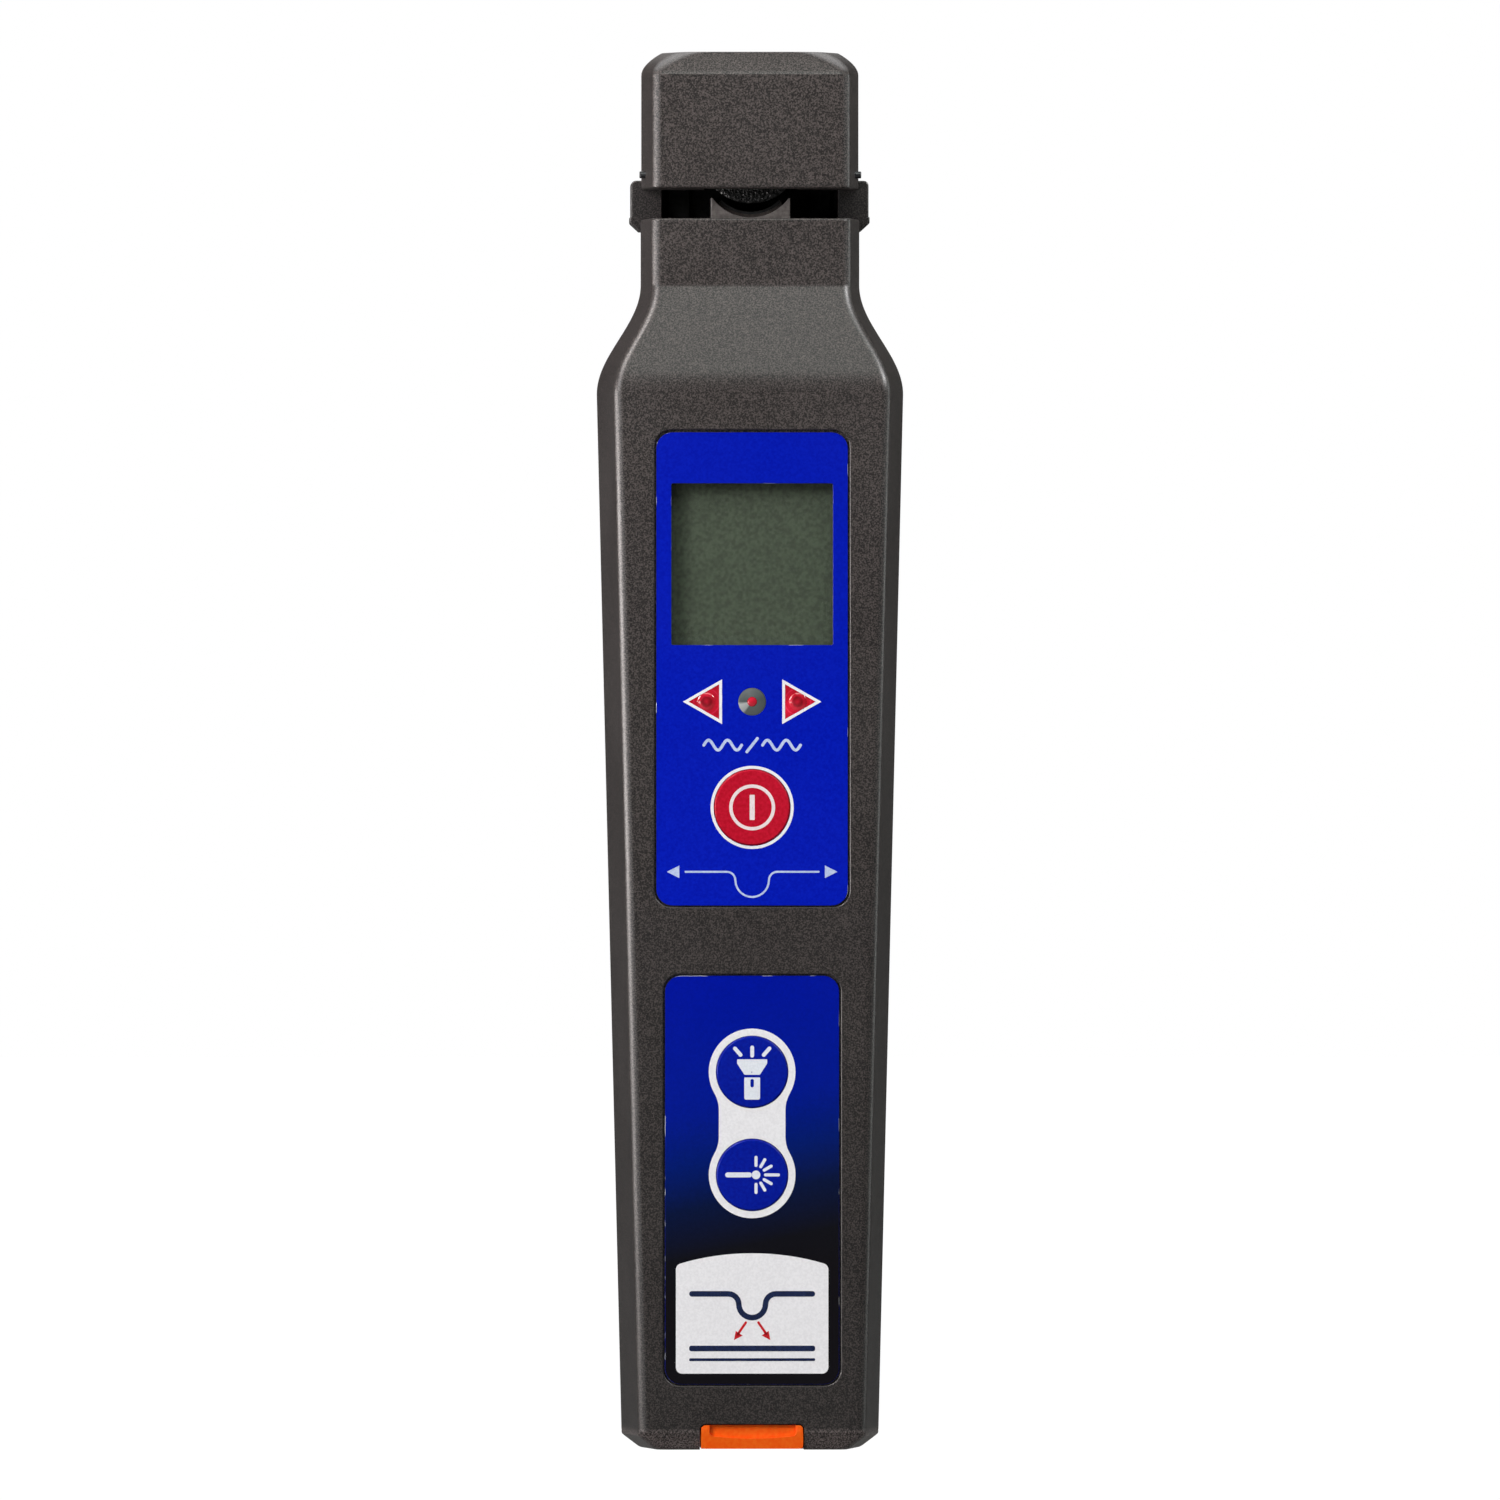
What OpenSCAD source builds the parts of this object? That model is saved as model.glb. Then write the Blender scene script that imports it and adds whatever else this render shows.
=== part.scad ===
// Handheld optical fibre identifier, an assembly of separate pieces.
// It stands on its bottom end: +Z runs up to the head, the display faces -Y,
// and the origin is the centre of the bottom end. Lengths are in millimetres.

/* [Body] */
// Height of the tapered body, up to the start of the shoulder
body_h = 151; // [149:0.5:156]
// Height of the shoulder, where the body narrows to the neck
shoulder_h = 15.7; // [15:0.1:18]
// Height of the neck above the shoulder
neck_h = 9.4; // [9:0.1:11]
// Width of the body at the shoulder
body_top_w = 44; // [43:0.5:50]
// Width of the body at its bottom end
body_bottom_w = 36.8; // [36.4:0.2:42]
// Depth of the body from front to back
body_d = 30; // [30:0.2:33]
// Width of the neck
neck_w = 31.4; // [31:0.2:35]
// How far the neck's front lies behind the body's front
neck_front_set = 5.5; // [4.5:0.1:5.8]
// How far the neck's back lies in front of the body's back
neck_rear_set = 5; // [4.6:0.1:5.4]
// Height of the curved finger rest on the back, below the trigger
scoop_h = 17; // [12:0.5:22]
// How far the finger rest ends below the shoulder
scoop_drop = 2; // [1.5:0.1:3]
// How far each side leans in from the seam to the front or back face
side_draft = 2.1; // [1:0.1:2.4]
// Radius of the long edges
edge_r = 1.5; // [0.8:0.1:2]
// Thickness of the shell walls
wall = 2; // [1.6:0.1:2.2]
// Thickness of the bottom end
floor_t = 2.2; // [2:0.1:2.8]
// Height of the bevel round the bottom end
bottom_bevel_h = 2.5; // [1:0.1:3]
// Width of that bevel on the sides
bottom_bevel_side = 2.6; // [1:0.1:3.2]
// Width of that bevel on the front and back
bottom_bevel_face = 1.4; // [0.6:0.1:1.8]

/* [Head] */
// Height of the slot between neck and head, where the fibre goes
slot_gap = 4.25; // [4.2:0.05:5]
// Height of the head
head_h = 19.65; // [18:0.05:24]
// Width of the head
head_w = 31.2; // [30.6:0.2:34]
// Height of the bevel round the head's top
head_bevel_h = 3.2; // [2:0.1:4]
// Width of that bevel
head_bevel_w = 3; // [1.5:0.1:3.5]
// Thickness of the head's walls
head_wall = 1.6; // [1.2:0.1:1.8]
// Distance of the head's seam behind the body's seam
head_seam_set = 1; // [0.6:0.1:1.4]
// Width of each ear beside the slot
ear_w = 4.6; // [4:0.1:5]
// How far each ear stands out beyond the head
ear_out = 1.6; // [1:0.1:2]
// How far each ear rises above the head's underside
ear_rise = 1.35; // [0.6:0.05:2]
// How far each ear reaches down beside the neck
ear_drop = 1.7; // [1.6:0.1:3]
// Depth of each ear
ear_d = 8; // [6:0.1:8.4]

/* [Fibre clamp] */
// Width of the grooved adapter that lifts the fibre
adapter_w = 11.3; // [10.6:0.1:11.6]
// Depth of the adapter
adapter_d = 8; // [7:0.1:8.4]
// How far the adapter's groove lies above the neck
groove_rise = 0.2; // [0:0.05:0.5]
// Radius of the groove
groove_r = 6.7; // [6.4:0.1:7.2]
// Radius of the presser's round face
presser_r = 5.9; // [5.4:0.1:6]
// Gap between the groove and the presser at rest
clamp_gap = 2.2; // [1.6:0.1:2.4]
// Travel of the trigger that opens the clamp
trigger_travel = 4; // [3:0.1:4.4]
// Width of the trigger's pad
trigger_w = 16; // [14:0.5:18]
// Height of the trigger's pad
trigger_h = 17; // [16.6:0.1:17.6]
// Diameter of the guide rods
guide_rod_d = 2; // [1.6:0.1:2.4]
// Distance between the guide rods
guide_rod_pitch = 17; // [16.6:0.1:17.4]
// Outer diameter of the return springs
spring_d = 4.4; // [4:0.1:4.6]

/* [Display] */
// Distance from the shoulder down to the display overlay
display_drop = 5.4; // [5:0.1:6.4]
// Height of the display overlay
display_h = 67.9; // [67:0.1:69]
// Width of the body left on each side of the display overlay
display_margin = 8.2; // [7.8:0.1:8.6]
// Width of the overlay left on each side of the square display window
window_margin = 2.25; // [2:0.05:2.8]
// Distance from the overlay's top down to the window
window_drop = 7.5; // [7:0.1:8.5]
// Distance from the window down to the signal lights
lights_gap = 8.1; // [7.6:0.1:8.8]
// Distance from the middle light to each direction light
lights_pitch = 7.1; // [6:0.1:8]
// Diameter of each light
light_d = 3; // [2.6:0.1:3.2]
// Diameter of the middle light's window
light_window_d = 4; // [3.4:0.1:4.4]
// Distance from the signal lights down to the power button's centre
power_gap = 15.1; // [14.4:0.1:15.6]
// Thickness of both overlays
overlay_t = 0.4; // [0.3:0.05:0.5]
// Corner radius of both overlays
overlay_r = 2.2; // [1.5:0.1:3]

/* [Keys] */
// Distance between the display overlay and the keypad overlay
panel_gap = 9.9; // [9.4:0.1:10.9]
// Width of the body's bottom end left on each side of the keypad overlay
keypad_margin = 5.85; // [5.4:0.05:6.4]
// Distance from the bottom end up to the keypad overlay
keypad_rise = 9.3; // [9:0.1:10]
// Distance from the keypad's top down to the torch button's centre
torch_drop = 13.8; // [13:0.1:14.4]
// Distance between the torch and laser buttons
key_pitch = 14.7; // [13.8:0.1:15.4]
// Diameter of the power button
power_d = 10.9; // [10:0.1:11.4]
// Diameter of the torch and laser buttons
key_d = 10.3; // [9.6:0.1:10.8]
// Travel of every button
key_travel = 0.4; // [0.2:0.05:0.45]

/* [Batteries] */
// Diameter of one cell
cell_d = 10.5; // [10:0.1:10.6]
// Length of one cell with its tip
cell_h = 44.5; // [43:0.1:46]
// Distance from the bottom end up to the cells
cell_rise = 14.6; // [14.4:0.1:16]
// Thickness of the battery door
door_t = 1.2; // [1:0.05:1.3]
// How far the door reaches past the compartment on each side
door_lap = 1.2; // [0.8:0.1:1.6]

/* [Laser port and torch] */
// Bore of the sleeve that takes a ferrule
ferrule_bore_d = 2.52; // [2.5:0.01:2.56]
// Outer diameter of the sleeve
sleeve_d = 5; // [4.4:0.1:5.2]
// Length of the sleeve
sleeve_h = 9.6; // [9.2:0.1:10]
// Diameter of the laser module
laser_d = 8; // [7:0.1:8]
// Length of the laser module
laser_h = 30; // [25:0.5:34]
// Distance of the laser's axis in front of the seam
laser_set = 4; // [4:0.1:4.4]
// Width of the hinged port cover
cover_w = 14.6; // [13:0.1:15]
// Height of the port cover's front lip
cover_lip_h = 3.3; // [3:0.1:3.4]
// Thickness of the port cover
cover_t = 1.6; // [1.4:0.1:1.8]
// Diameter of the torch lens
torch_lens_d = 5.8; // [5.4:0.1:6.2]
// Diameter of the torch light
torch_led_d = 5; // [4.6:0.1:5]

/* [Fasteners] */
// Shaft diameter of the screws that close the shells
shell_screw_d = 2; // [1.6:0.1:2.2]
// Head diameter of those screws
shell_screw_head_d = 3.8; // [3.2:0.1:4]
// Shaft diameter of the small screws inside
small_screw_d = 1.4; // [1.2:0.1:1.6]
// Head diameter of the small screws
small_screw_head_d = 2.6; // [2.2:0.1:2.8]

/* [Hidden] */
$fn = 64;

// Fits and cuts
overrun = 1;
seat_gap = 0.3;
fit_gap = 0.15;
slide_gap = 0.25;
pin_gap = 0.05;
front = -1;
rear = 1;
sides = [-1, 1];

// Heights of the main stations
neck_z = body_h + shoulder_h;
neck_top_z = neck_z + neck_h;
head_z = neck_top_z + slot_gap;
top_z = head_z + head_h;
scoop_top_z = body_h - scoop_drop;
scoop_z = scoop_top_z - scoop_h;

// Planes from front to back
face_y = body_d / 2;
wall_y = face_y - wall;
neck_front_y = face_y - neck_front_set;
neck_rear_y = face_y - neck_rear_set;
neck_rear_wall_y = neck_rear_y - wall;

// Steps along the curved stretches
curve_steps = 8;
corner_steps = 4;
inner_edge_share = 0.5;
// Share of the bottom bevel's height that it takes on the sides
side_bevel_share = 0.8;
// Share of the shoulder over which its front bends into a straight slope
slope_bend_share = 0.2;

// Share of the way along a stretch, kept between its two ends
function way(z, low, length) = min(1, max(0, (z - low) / length));
// The shoulder curve seen from the front bends both ways
function both_ways(t) = (1 - cos(180 * t)) / 2;
// The shoulder seen from the side bends into a straight slope that ends in a crease
function bend(t) = t < slope_bend_share ? t * t / slope_bend_share / 2 : t - slope_bend_share / 2;
function bevel_share(z, h) = 1 - way(z, 0, h);

function half_w(z) =
  body_bottom_w / 2 + (body_top_w - body_bottom_w) / 2 * way(z, 0, body_h)
  - (body_top_w - neck_w) / 2 * both_ways(way(z, body_h, shoulder_h))
  - bottom_bevel_side * bevel_share(z, bottom_bevel_h * side_bevel_share);

function set_back(z, side) = side == front
  ? neck_front_set * bend(way(z, body_h, shoulder_h)) / bend(1)
  : neck_rear_set * both_ways(way(z, scoop_z, scoop_h));

function face_at(z, side) = face_y - set_back(z, side) - bottom_bevel_face * bevel_share(z, bottom_bevel_h);

// One level of a half shell: from the seam round both long edges and back to the seam.
// Its sides lean in by lean, and its long edges have the radius r.
function level(z, half, depth, lean, r, side, seam) = let (
  flat_x = half - lean - r,
  flat_y = seam + side * (depth - r),
  turn = [for (i = [0 : corner_steps]) 90 * i / corner_steps]
) concat(
  [[half, seam, z]],
  [for (a = turn) [flat_x + r * cos(a), flat_y + side * r * sin(a), z]],
  [for (a = turn) [-flat_x - r * sin(a), flat_y + side * r * cos(a), z]],
  [[-half, seam, z]]
);

// Closed solid over a stack of levels, each with the same count of points
module loft(levels, side) {
  count = len(levels[0]);
  last = len(levels) - 1;
  walls = [for (i = [0 : last - 1], j = [0 : count - 1]) let (
    a = i * count + j,
    b = i * count + (j + 1) % count
  ) each [[a, b, b + count], [a, b + count, a + count]]];
  bottom = [for (j = [count - 1 : -1 : 0]) j];
  top = [for (j = [0 : count - 1]) last * count + j];
  faces = concat(walls, [bottom], [top]);
  turned = [for (f = faces) [for (k = [len(f) - 1 : -1 : 0]) f[k]]];
  polyhedron([for (l = levels) each l], side == front ? faces : turned);
}

// Block between two corners
module block(low, high) {
  translate(low) cube(high - low);
}

// Block centred on x = 0
module middle_block(w, y, z) {
  block([-w / 2, y[0], z[0]], [w / 2, y[1], z[1]]);
}

// Round bars along each axis, given by the range they span
module bar_x(x, y, z, d) {
  translate([x[0], y, z]) rotate([0, 90, 0]) cylinder(d = d, h = x[1] - x[0]);
}

module bar_y(x, y, z, d) {
  translate([x, y[1], z]) rotate([90, 0, 0]) cylinder(d = d, h = y[1] - y[0]);
}

module bar_z(x, y, z, d) {
  translate([x, y, z[0]]) cylinder(d = d, h = z[1] - z[0]);
}

// Upright plate with round corners, facing front
module plate(w, z, y, r) {
  h = z[1] - z[0];
  translate([0, y[1], z[0]]) rotate([90, 0, 0]) linear_extrude(y[1] - y[0]) union() {
    translate([-w / 2 + r, 0]) square([w - 2 * r, h]);
    translate([-w / 2, r]) square([w, h - 2 * r]);
    for (s = sides, c = [r, h - r]) translate([s * (w / 2 - r), c]) circle(r);
  }
}

// Levels of the body that need a ring of points
body_levels = concat(
  [0, bottom_bevel_h * side_bevel_share, bottom_bevel_h],
  [for (i = [0 : curve_steps]) scoop_z + scoop_h * i / curve_steps],
  [for (i = [0 : curve_steps]) body_h + shoulder_h * i / curve_steps],
  [neck_top_z]
);

function body_level(z, inset, side, seam) = level(
  z, half_w(z) - inset, side * seam * -1 + face_at(z, side) - inset,
  side_draft * face_at(z, side) / face_y,
  inset > 0 ? edge_r * inner_edge_share : edge_r, side, seam
);

module body_half(side) {
  inner = [for (z = body_levels) if (z > floor_t && z < neck_top_z - wall) z];
  difference() {
    loft([for (z = body_levels) body_level(z, 0, side, 0)], side);
    loft([for (z = concat([floor_t], inner, [neck_top_z - wall]))
      body_level(z, wall, side, -side * overrun)], side);
  }
}

// Screws that close the shells: three pairs along the body
shell_boss_d = 4.4;
shell_screw_inset = 5.8;
shell_screw_low_z = 6.5;
shell_screw_high_drop = 5;
shell_screw_mid_rise = 2.3;
shell_screw_head_h = 1.4;
shell_screw_sink = 3;
shell_screw_reach = 6;

// Overlays lie in shallow pockets in the front
overlay_sink = 0.2;
pocket_y = face_y - overlay_sink - overlay_t;
display_w = body_top_w - 2 * display_margin;
keypad_w = body_bottom_w - 2 * keypad_margin;
window_side = display_w - 2 * window_margin;
display_top_z = body_h - display_drop;
display_z = [display_top_z - display_h, display_top_z];
keypad_z = [keypad_rise, display_z[0] - panel_gap];
window_z = [display_top_z - window_drop - window_side, display_top_z - window_drop];
lights_z = window_z[0] - lights_gap;
power_z = lights_z - power_gap;
torch_z = keypad_z[1] - torch_drop;
laser_z = torch_z - key_pitch;
shell_screw_z = [
  shell_screw_low_z,
  keypad_z[1] + shell_screw_mid_rise,
  scoop_z - shell_screw_high_drop
];

// Triangles that point left and right over the direction lights
arrow_h = 6.4;
arrow_w = 5.6;

// Buttons: cap, flange behind the wall and stem to the switch
cap_proud = 0.2;
flange_lap = 0.75;
flange_t = 0.35;
stem_d = 3.2;
stem_reach = 1;
switch_side = 6;
dome_gap = 0.1;
cap_edge_r = 0.3;

// Display stack and main board
board_t = 1.2;
board_side_set = 2.4;
board_w = display_w - 2 * board_side_set;
board_low_z = 13;
board_top_drop = 5;
board_drop = 2.4;
board_y = wall_y - board_drop;
board_back_y = board_y - board_t;
switch_h = board_drop - pin_gap - flange_t - key_travel - dome_gap;
lcd_window_t = 0.6;
lcd_glass_t = 1;
lcd_rim = 0.9;
lcd_frame_rim = 1.4;
board_high_z = body_h - board_top_drop;
board_boss_d = 3.4;
board_screw_side_set = 2.4;
board_screw_x = board_w / 2 - board_screw_side_set;
board_screw_inset = 3;
board_screw_head_h = 1;
board_screw_mid_rise = 7.4;
board_screw_z = [
  board_low_z + board_screw_inset,
  keypad_z[1] + board_screw_mid_rise,
  board_high_z - board_screw_inset
];
chip_side = 10;
chip_t = 1.4;
small_chip_side = 5;
chip_step = 15;
buzzer_d = 12;
buzzer_h = 4;
buzzer_hole_d = 2;
buzzer_sink = 1;

// Cells lie side by side in the back shell, along Z
cell_gap = 0.3;
cell_x = (cell_d + cell_gap) / 2;
cell_tip_d = 3.8;
cell_tip_h = 1;
cell_z = [cell_rise, cell_rise + cell_h];
bay_wall = 0.9;
bay_half = cell_d + 1.5 * cell_gap;
contact_t = 0.4;
contact_bump_d = 4;
lower_bump_h = 1.5;
upper_bump_h = 0.5;
bay_z = [
  cell_z[0] - cell_gap - lower_bump_h - contact_t,
  cell_z[1] + cell_gap + upper_bump_h + contact_t
];
door_sink = 0.05;
door_inner_y = face_y - door_sink - door_t;
cell_y = door_inner_y - seat_gap - cell_gap - cell_d / 2;
bay_floor_y = cell_y - cell_d / 2 - cell_gap;
door_half = bay_half + door_lap;
barrel_d = 2.4;
door_stub_h = 1.1;
door_stub_d = 1.2;
door_axis_y = face_y - barrel_d / 2;
door_axis_z = bay_z[0] - door_lap - barrel_d / 2 - fit_gap;
door_z = [door_axis_z, bay_z[1] + door_lap];
grip_count = 5;
grip_pitch = 1.6;
grip_w = 12;
grip_d = 0.8;

// Port cover at the bottom end: lip, plate and hinge barrel
port_cover_sink = 0.15;
port_pin_d = 1;
port_barrel_d = 2.1;
port_axis_y = 2;
port_axis_z = port_cover_sink + port_barrel_d / 2;
port_lip_t = 1.8;
port_recess_w = cover_w + 2 * fit_gap;
port_recess_z = cover_lip_h + 0.5 * seat_gap;
port_recess_y = port_axis_y + port_barrel_d / 2 + slide_gap;
port_edge_bevel = 1;
port_edge_bevel_h = 1.4;
port_block_wall = 2;
port_block_w = port_recess_w + 2 * port_block_wall;
port_block_top = port_recess_z + port_block_wall;
nail_notch_w = 12;
nail_notch_d = 0.8;
nail_notch_rise = 1.6;

// Laser and its sleeve on one axis
laser_y = -laser_set;
sleeve_z = [port_recess_z + fit_gap, port_recess_z + fit_gap + sleeve_h];
sleeve_boss_d = 7;
sleeve_step = 1.5;
laser_seat_z = sleeve_z[1] - sleeve_step;
lens_gap = 0.2;

// Torch beside the port
torch_y = 9.6;
torch_lens_t = 1.1;
torch_lens_sink = 0.4;
torch_tube_wall = 0.8;
torch_led_h = 6;
torch_led_flange_d = 5.8;
torch_led_flange_t = 1;
torch_led_z = torch_lens_sink + torch_lens_t + cell_gap;

// Head: cover in front of the seam, frame behind it
head_seam_y = head_seam_set;
head_lean = side_draft * neck_front_y / face_y;
head_top_roll = 0.5;
head_floor_z = head_z + head_wall;
head_cover_screw_x = 10.4;
head_cover_screw_drop = 7.6;
head_cover_screw_z = top_z - head_cover_screw_drop;
head_boss_d = 5.2;
head_screw_sink = 2;
spine_y = 4;
spine_half = head_w / 2 + ear_out - ear_w;
ear_z = [neck_top_z - ear_drop, head_z + ear_rise];
ear_foot_bevel = 1.3;
ear_foot_lap = 0.5;
ear_foot_x = neck_w / 2 - ear_foot_lap;
leg_x = [8.6, 11.6];
leg_front_y = 3;
leg_reach = 2.8;
leg_screw_rise = 4.4;
leg_y = [leg_front_y, neck_rear_wall_y];
leg_z = [neck_z - leg_reach, neck_top_z + overrun];
leg_screw_x = (leg_x[0] + leg_x[1]) / 2;
leg_screw_z = leg_z[0] + leg_screw_rise;

// Clamp: presser in the head, adapter on the sprung carriage
adapter_set = 5;
adapter_y = [-adapter_set, adapter_d - adapter_set];
groove_z = neck_top_z + groove_rise;
adapter_horn_rise = 2.8;
adapter_top_z = groove_z + adapter_horn_rise;
presser_low_z = groove_z + clamp_gap;
presser_axis_z = presser_low_z + presser_r;
presser_lap = 0.5;
presser_y = [adapter_y[0] - presser_lap, adapter_y[1]];
presser_h = 6;
seal_t = 0.8;
seal_w = 12.4;
seal_r = 7.3;
seal_drop = 0.2;
presser_pin_d = 1;
presser_pin_rise = 0.5;
presser_pin_proud = 0.3;
presser_pin_z = head_floor_z + presser_pin_rise;
presser_pin_y = -2.5;
presser_pin_half = head_w / 2 + presser_pin_proud;
carriage_w = 22;
carriage_set = 4.5;
carriage_drop = 6.7;
carriage_h = 7;
carriage_y = [-carriage_set, leg_y[0] - seat_gap];
carriage_z = [neck_z - carriage_drop, neck_z - carriage_drop + carriage_h];
detector_t = 1;
adapter_low_z = carriage_z[1] + detector_t;
photodiode_d = 3.2;
photodiode_h = 4;
photodiode_x = 3;
photodiode_y = -1;
rod_y = -1;
bracket_t = 3;
bracket_drop = 5;
bracket_z = [body_h - bracket_drop, body_h - bracket_drop + bracket_t];
bracket_w = 27;
bracket_half_d = 5;
bracket_y = [-bracket_half_d, bracket_half_d];
bracket_tab_t = 1.6;
bracket_tab_h = 7;
bracket_tab_w = 4;
bracket_screw_x = bracket_w / 2 - bracket_tab_w / 2;
bracket_screw_z = bracket_z[1] + bracket_tab_h - bracket_tab_w / 2;
bracket_boss_d = 4;
rod_reach = 3;
rod_low_z = bracket_z[0] - rod_reach;
stem_w = 11;
stem_h = 6;
pad_gap = 0.25;
pad_drop = 6;
pad_z = [carriage_z[0] - pad_drop, carriage_z[0] - pad_drop + trigger_h];
stem_z = [carriage_z[0], carriage_z[0] + stem_h];
ridge_count = 5;
ridge_d = 1;
ridge_pitch = 2.4;
pad_edge_r = 2;
pad_t = face_y - neck_rear_y - pad_gap;
trigger_screw_x = 3;
trigger_screw_reach = 4;
small_head_h = 1;
small_reach = 3.5;

body_grey = "#47423f";
dark = "#1d1d1f";
steel = "#b9bcc0";
board_green = "#1f5b3a";

module front_shell() color(body_grey) difference() {
  union() {
    body_half(front);
    for (z = shell_screw_z) for (s = sides)
      bar_y(s * (half_w(z) - shell_screw_inset), [-wall_y - wall / 2, 0], z, shell_boss_d);
    for (z = board_screw_z) for (s = sides)
      bar_y(s * board_screw_x, [-wall_y - wall / 2, -board_y], z, board_boss_d);
    middle_block(port_block_w, [-wall_y, 0], [0, port_block_top]);
    bar_z(0, laser_y, [port_recess_z, laser_seat_z], sleeve_boss_d);
  }
  for (z = shell_screw_z) for (s = sides)
    bar_y(s * (half_w(z) - shell_screw_inset), [-shell_screw_reach, overrun], z,
      shell_screw_d + 2 * pin_gap);
  for (z = board_screw_z) for (s = sides)
    bar_y(s * board_screw_x, [-wall_y, -board_y + overrun], z, small_screw_d + 2 * pin_gap);
  plate(display_w + 2 * fit_gap, [display_z[0] - fit_gap, display_z[1] + fit_gap],
    [-face_y - overrun, -pocket_y], overlay_r + fit_gap);
  plate(keypad_w + 2 * fit_gap, [keypad_z[0] - fit_gap, keypad_z[1] + fit_gap],
    [-face_y - overrun, -pocket_y], overlay_r + fit_gap);
  middle_block(window_side, [-face_y, -wall_y + overrun], window_z);
  bar_y(0, [-face_y, -wall_y + overrun], lights_z, light_window_d);
  for (s = sides)
    bar_y(s * lights_pitch, [-face_y, -wall_y + overrun], lights_z, light_d + 2 * fit_gap);
  bar_y(0, [-face_y, -wall_y + overrun], power_z, power_d + 2 * fit_gap);
  for (z = [torch_z, laser_z])
    bar_y(0, [-face_y, -wall_y + overrun], z, key_d + 2 * fit_gap);
  middle_block(port_recess_w, [-face_y - overrun, overrun], [-overrun, port_recess_z]);
  bar_z(0, laser_y, [0, laser_seat_z + overrun], sleeve_d + 2 * pin_gap);
  middle_block(adapter_w + 2 * slide_gap, [adapter_y[0] - slide_gap, overrun],
    [neck_top_z - wall - overrun, neck_top_z + overrun]);
}

module rear_shell() color(body_grey) difference() {
  union() {
    body_half(rear);
    for (z = shell_screw_z) for (s = sides)
      bar_y(s * (half_w(z) - shell_screw_inset), [0, face_at(z, rear) - wall / 2], z, shell_boss_d);
    middle_block(port_block_w, [0, port_recess_y + port_block_wall], [0, port_block_top]);
    bar_z(0, torch_y, [floor_t / 2, torch_led_z + torch_led_h - torch_led_flange_t],
      torch_led_d + 2 * (pin_gap + torch_tube_wall));
    middle_block(2 * (bay_half + bay_wall), [bay_floor_y - bay_wall, wall_y + wall / 2],
      [bay_z[0] - bay_wall, bay_z[1] + bay_wall]);
    for (s = sides)
      bar_y(s * bracket_screw_x, [bracket_y[1], neck_rear_wall_y + wall / 2], bracket_screw_z,
        bracket_boss_d);
  }
  middle_block(2 * bay_half, [bay_floor_y, face_y + overrun], bay_z);
  middle_block(2 * (door_half + fit_gap), [door_inner_y - fit_gap, face_y + overrun],
    [door_z[0], door_z[1] + fit_gap]);
  middle_block(2 * (door_half + fit_gap),
    [door_axis_y - barrel_d / 2 - fit_gap, face_y + overrun],
    [door_axis_z - barrel_d / 2 - fit_gap, door_axis_z + barrel_d / 2 + fit_gap]);
  bar_x([-door_half - door_stub_h - fit_gap, door_half + door_stub_h + fit_gap],
    door_axis_y, door_axis_z, door_stub_d + 2 * pin_gap);
  for (z = shell_screw_z) for (s = sides) {
    bar_y(s * (half_w(z) - shell_screw_inset), [-overrun, face_y + overrun], z,
      shell_screw_d + 2 * pin_gap);
    bar_y(s * (half_w(z) - shell_screw_inset),
      [face_at(z, rear) - shell_screw_sink, face_y + overrun], z,
      shell_screw_head_d + 2 * pin_gap);
  }
  translate([-port_recess_w / 2, 0, 0]) rotate([90, 0, 90]) linear_extrude(port_recess_w) polygon([
    [-overrun, -overrun],
    [port_recess_y + port_edge_bevel, -overrun],
    [port_recess_y + port_edge_bevel, 0],
    [port_recess_y, port_edge_bevel_h],
    [port_recess_y, port_recess_z],
    [-overrun, port_recess_z]
  ]);
  bar_x([-port_block_w / 2 - overrun, port_block_w / 2 + overrun], port_axis_y, port_axis_z,
    port_pin_d + 2 * pin_gap);
  bar_z(0, torch_y, [-overrun, torch_lens_sink + torch_lens_t], torch_lens_d + 2 * pin_gap);
  bar_z(0, torch_y, [0, torch_led_z + torch_led_h + overrun], torch_led_d + 2 * pin_gap);
  middle_block(adapter_w + 2 * slide_gap, [-overrun, adapter_y[1] + slide_gap],
    [neck_top_z - wall - overrun, neck_top_z + overrun]);
  for (s = sides) {
    bar_y(s * bracket_screw_x, [bracket_y[1] - overrun, bracket_y[1] + small_reach],
      bracket_screw_z, small_screw_d + 2 * pin_gap);
    bar_y(s * leg_screw_x, [0, neck_rear_y + overrun], leg_screw_z, shell_screw_d + 2 * pin_gap);
    bar_y(s * leg_screw_x, [neck_rear_y - shell_screw_head_h, neck_rear_y + overrun], leg_screw_z,
      shell_screw_head_d + 2 * pin_gap);
    mirror([s < 0 ? 1 : 0, 0, 0]) {
      block([leg_x[0] - fit_gap, leg_y[0] - fit_gap, neck_top_z - wall - overrun],
        [leg_x[1] + fit_gap, leg_y[1] + pin_gap, neck_top_z + overrun]);
      block([ear_foot_x - fit_gap, head_seam_y - fit_gap, ear_z[0] - fit_gap],
        [neck_w, neck_rear_y + overrun, neck_top_z + overrun]);
    }
  }
  middle_block(stem_w + 2 * slide_gap, [neck_rear_wall_y - overrun, neck_rear_y + overrun],
    [stem_z[0] - trigger_travel - seat_gap, stem_z[1] + seat_gap]);
}

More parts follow.
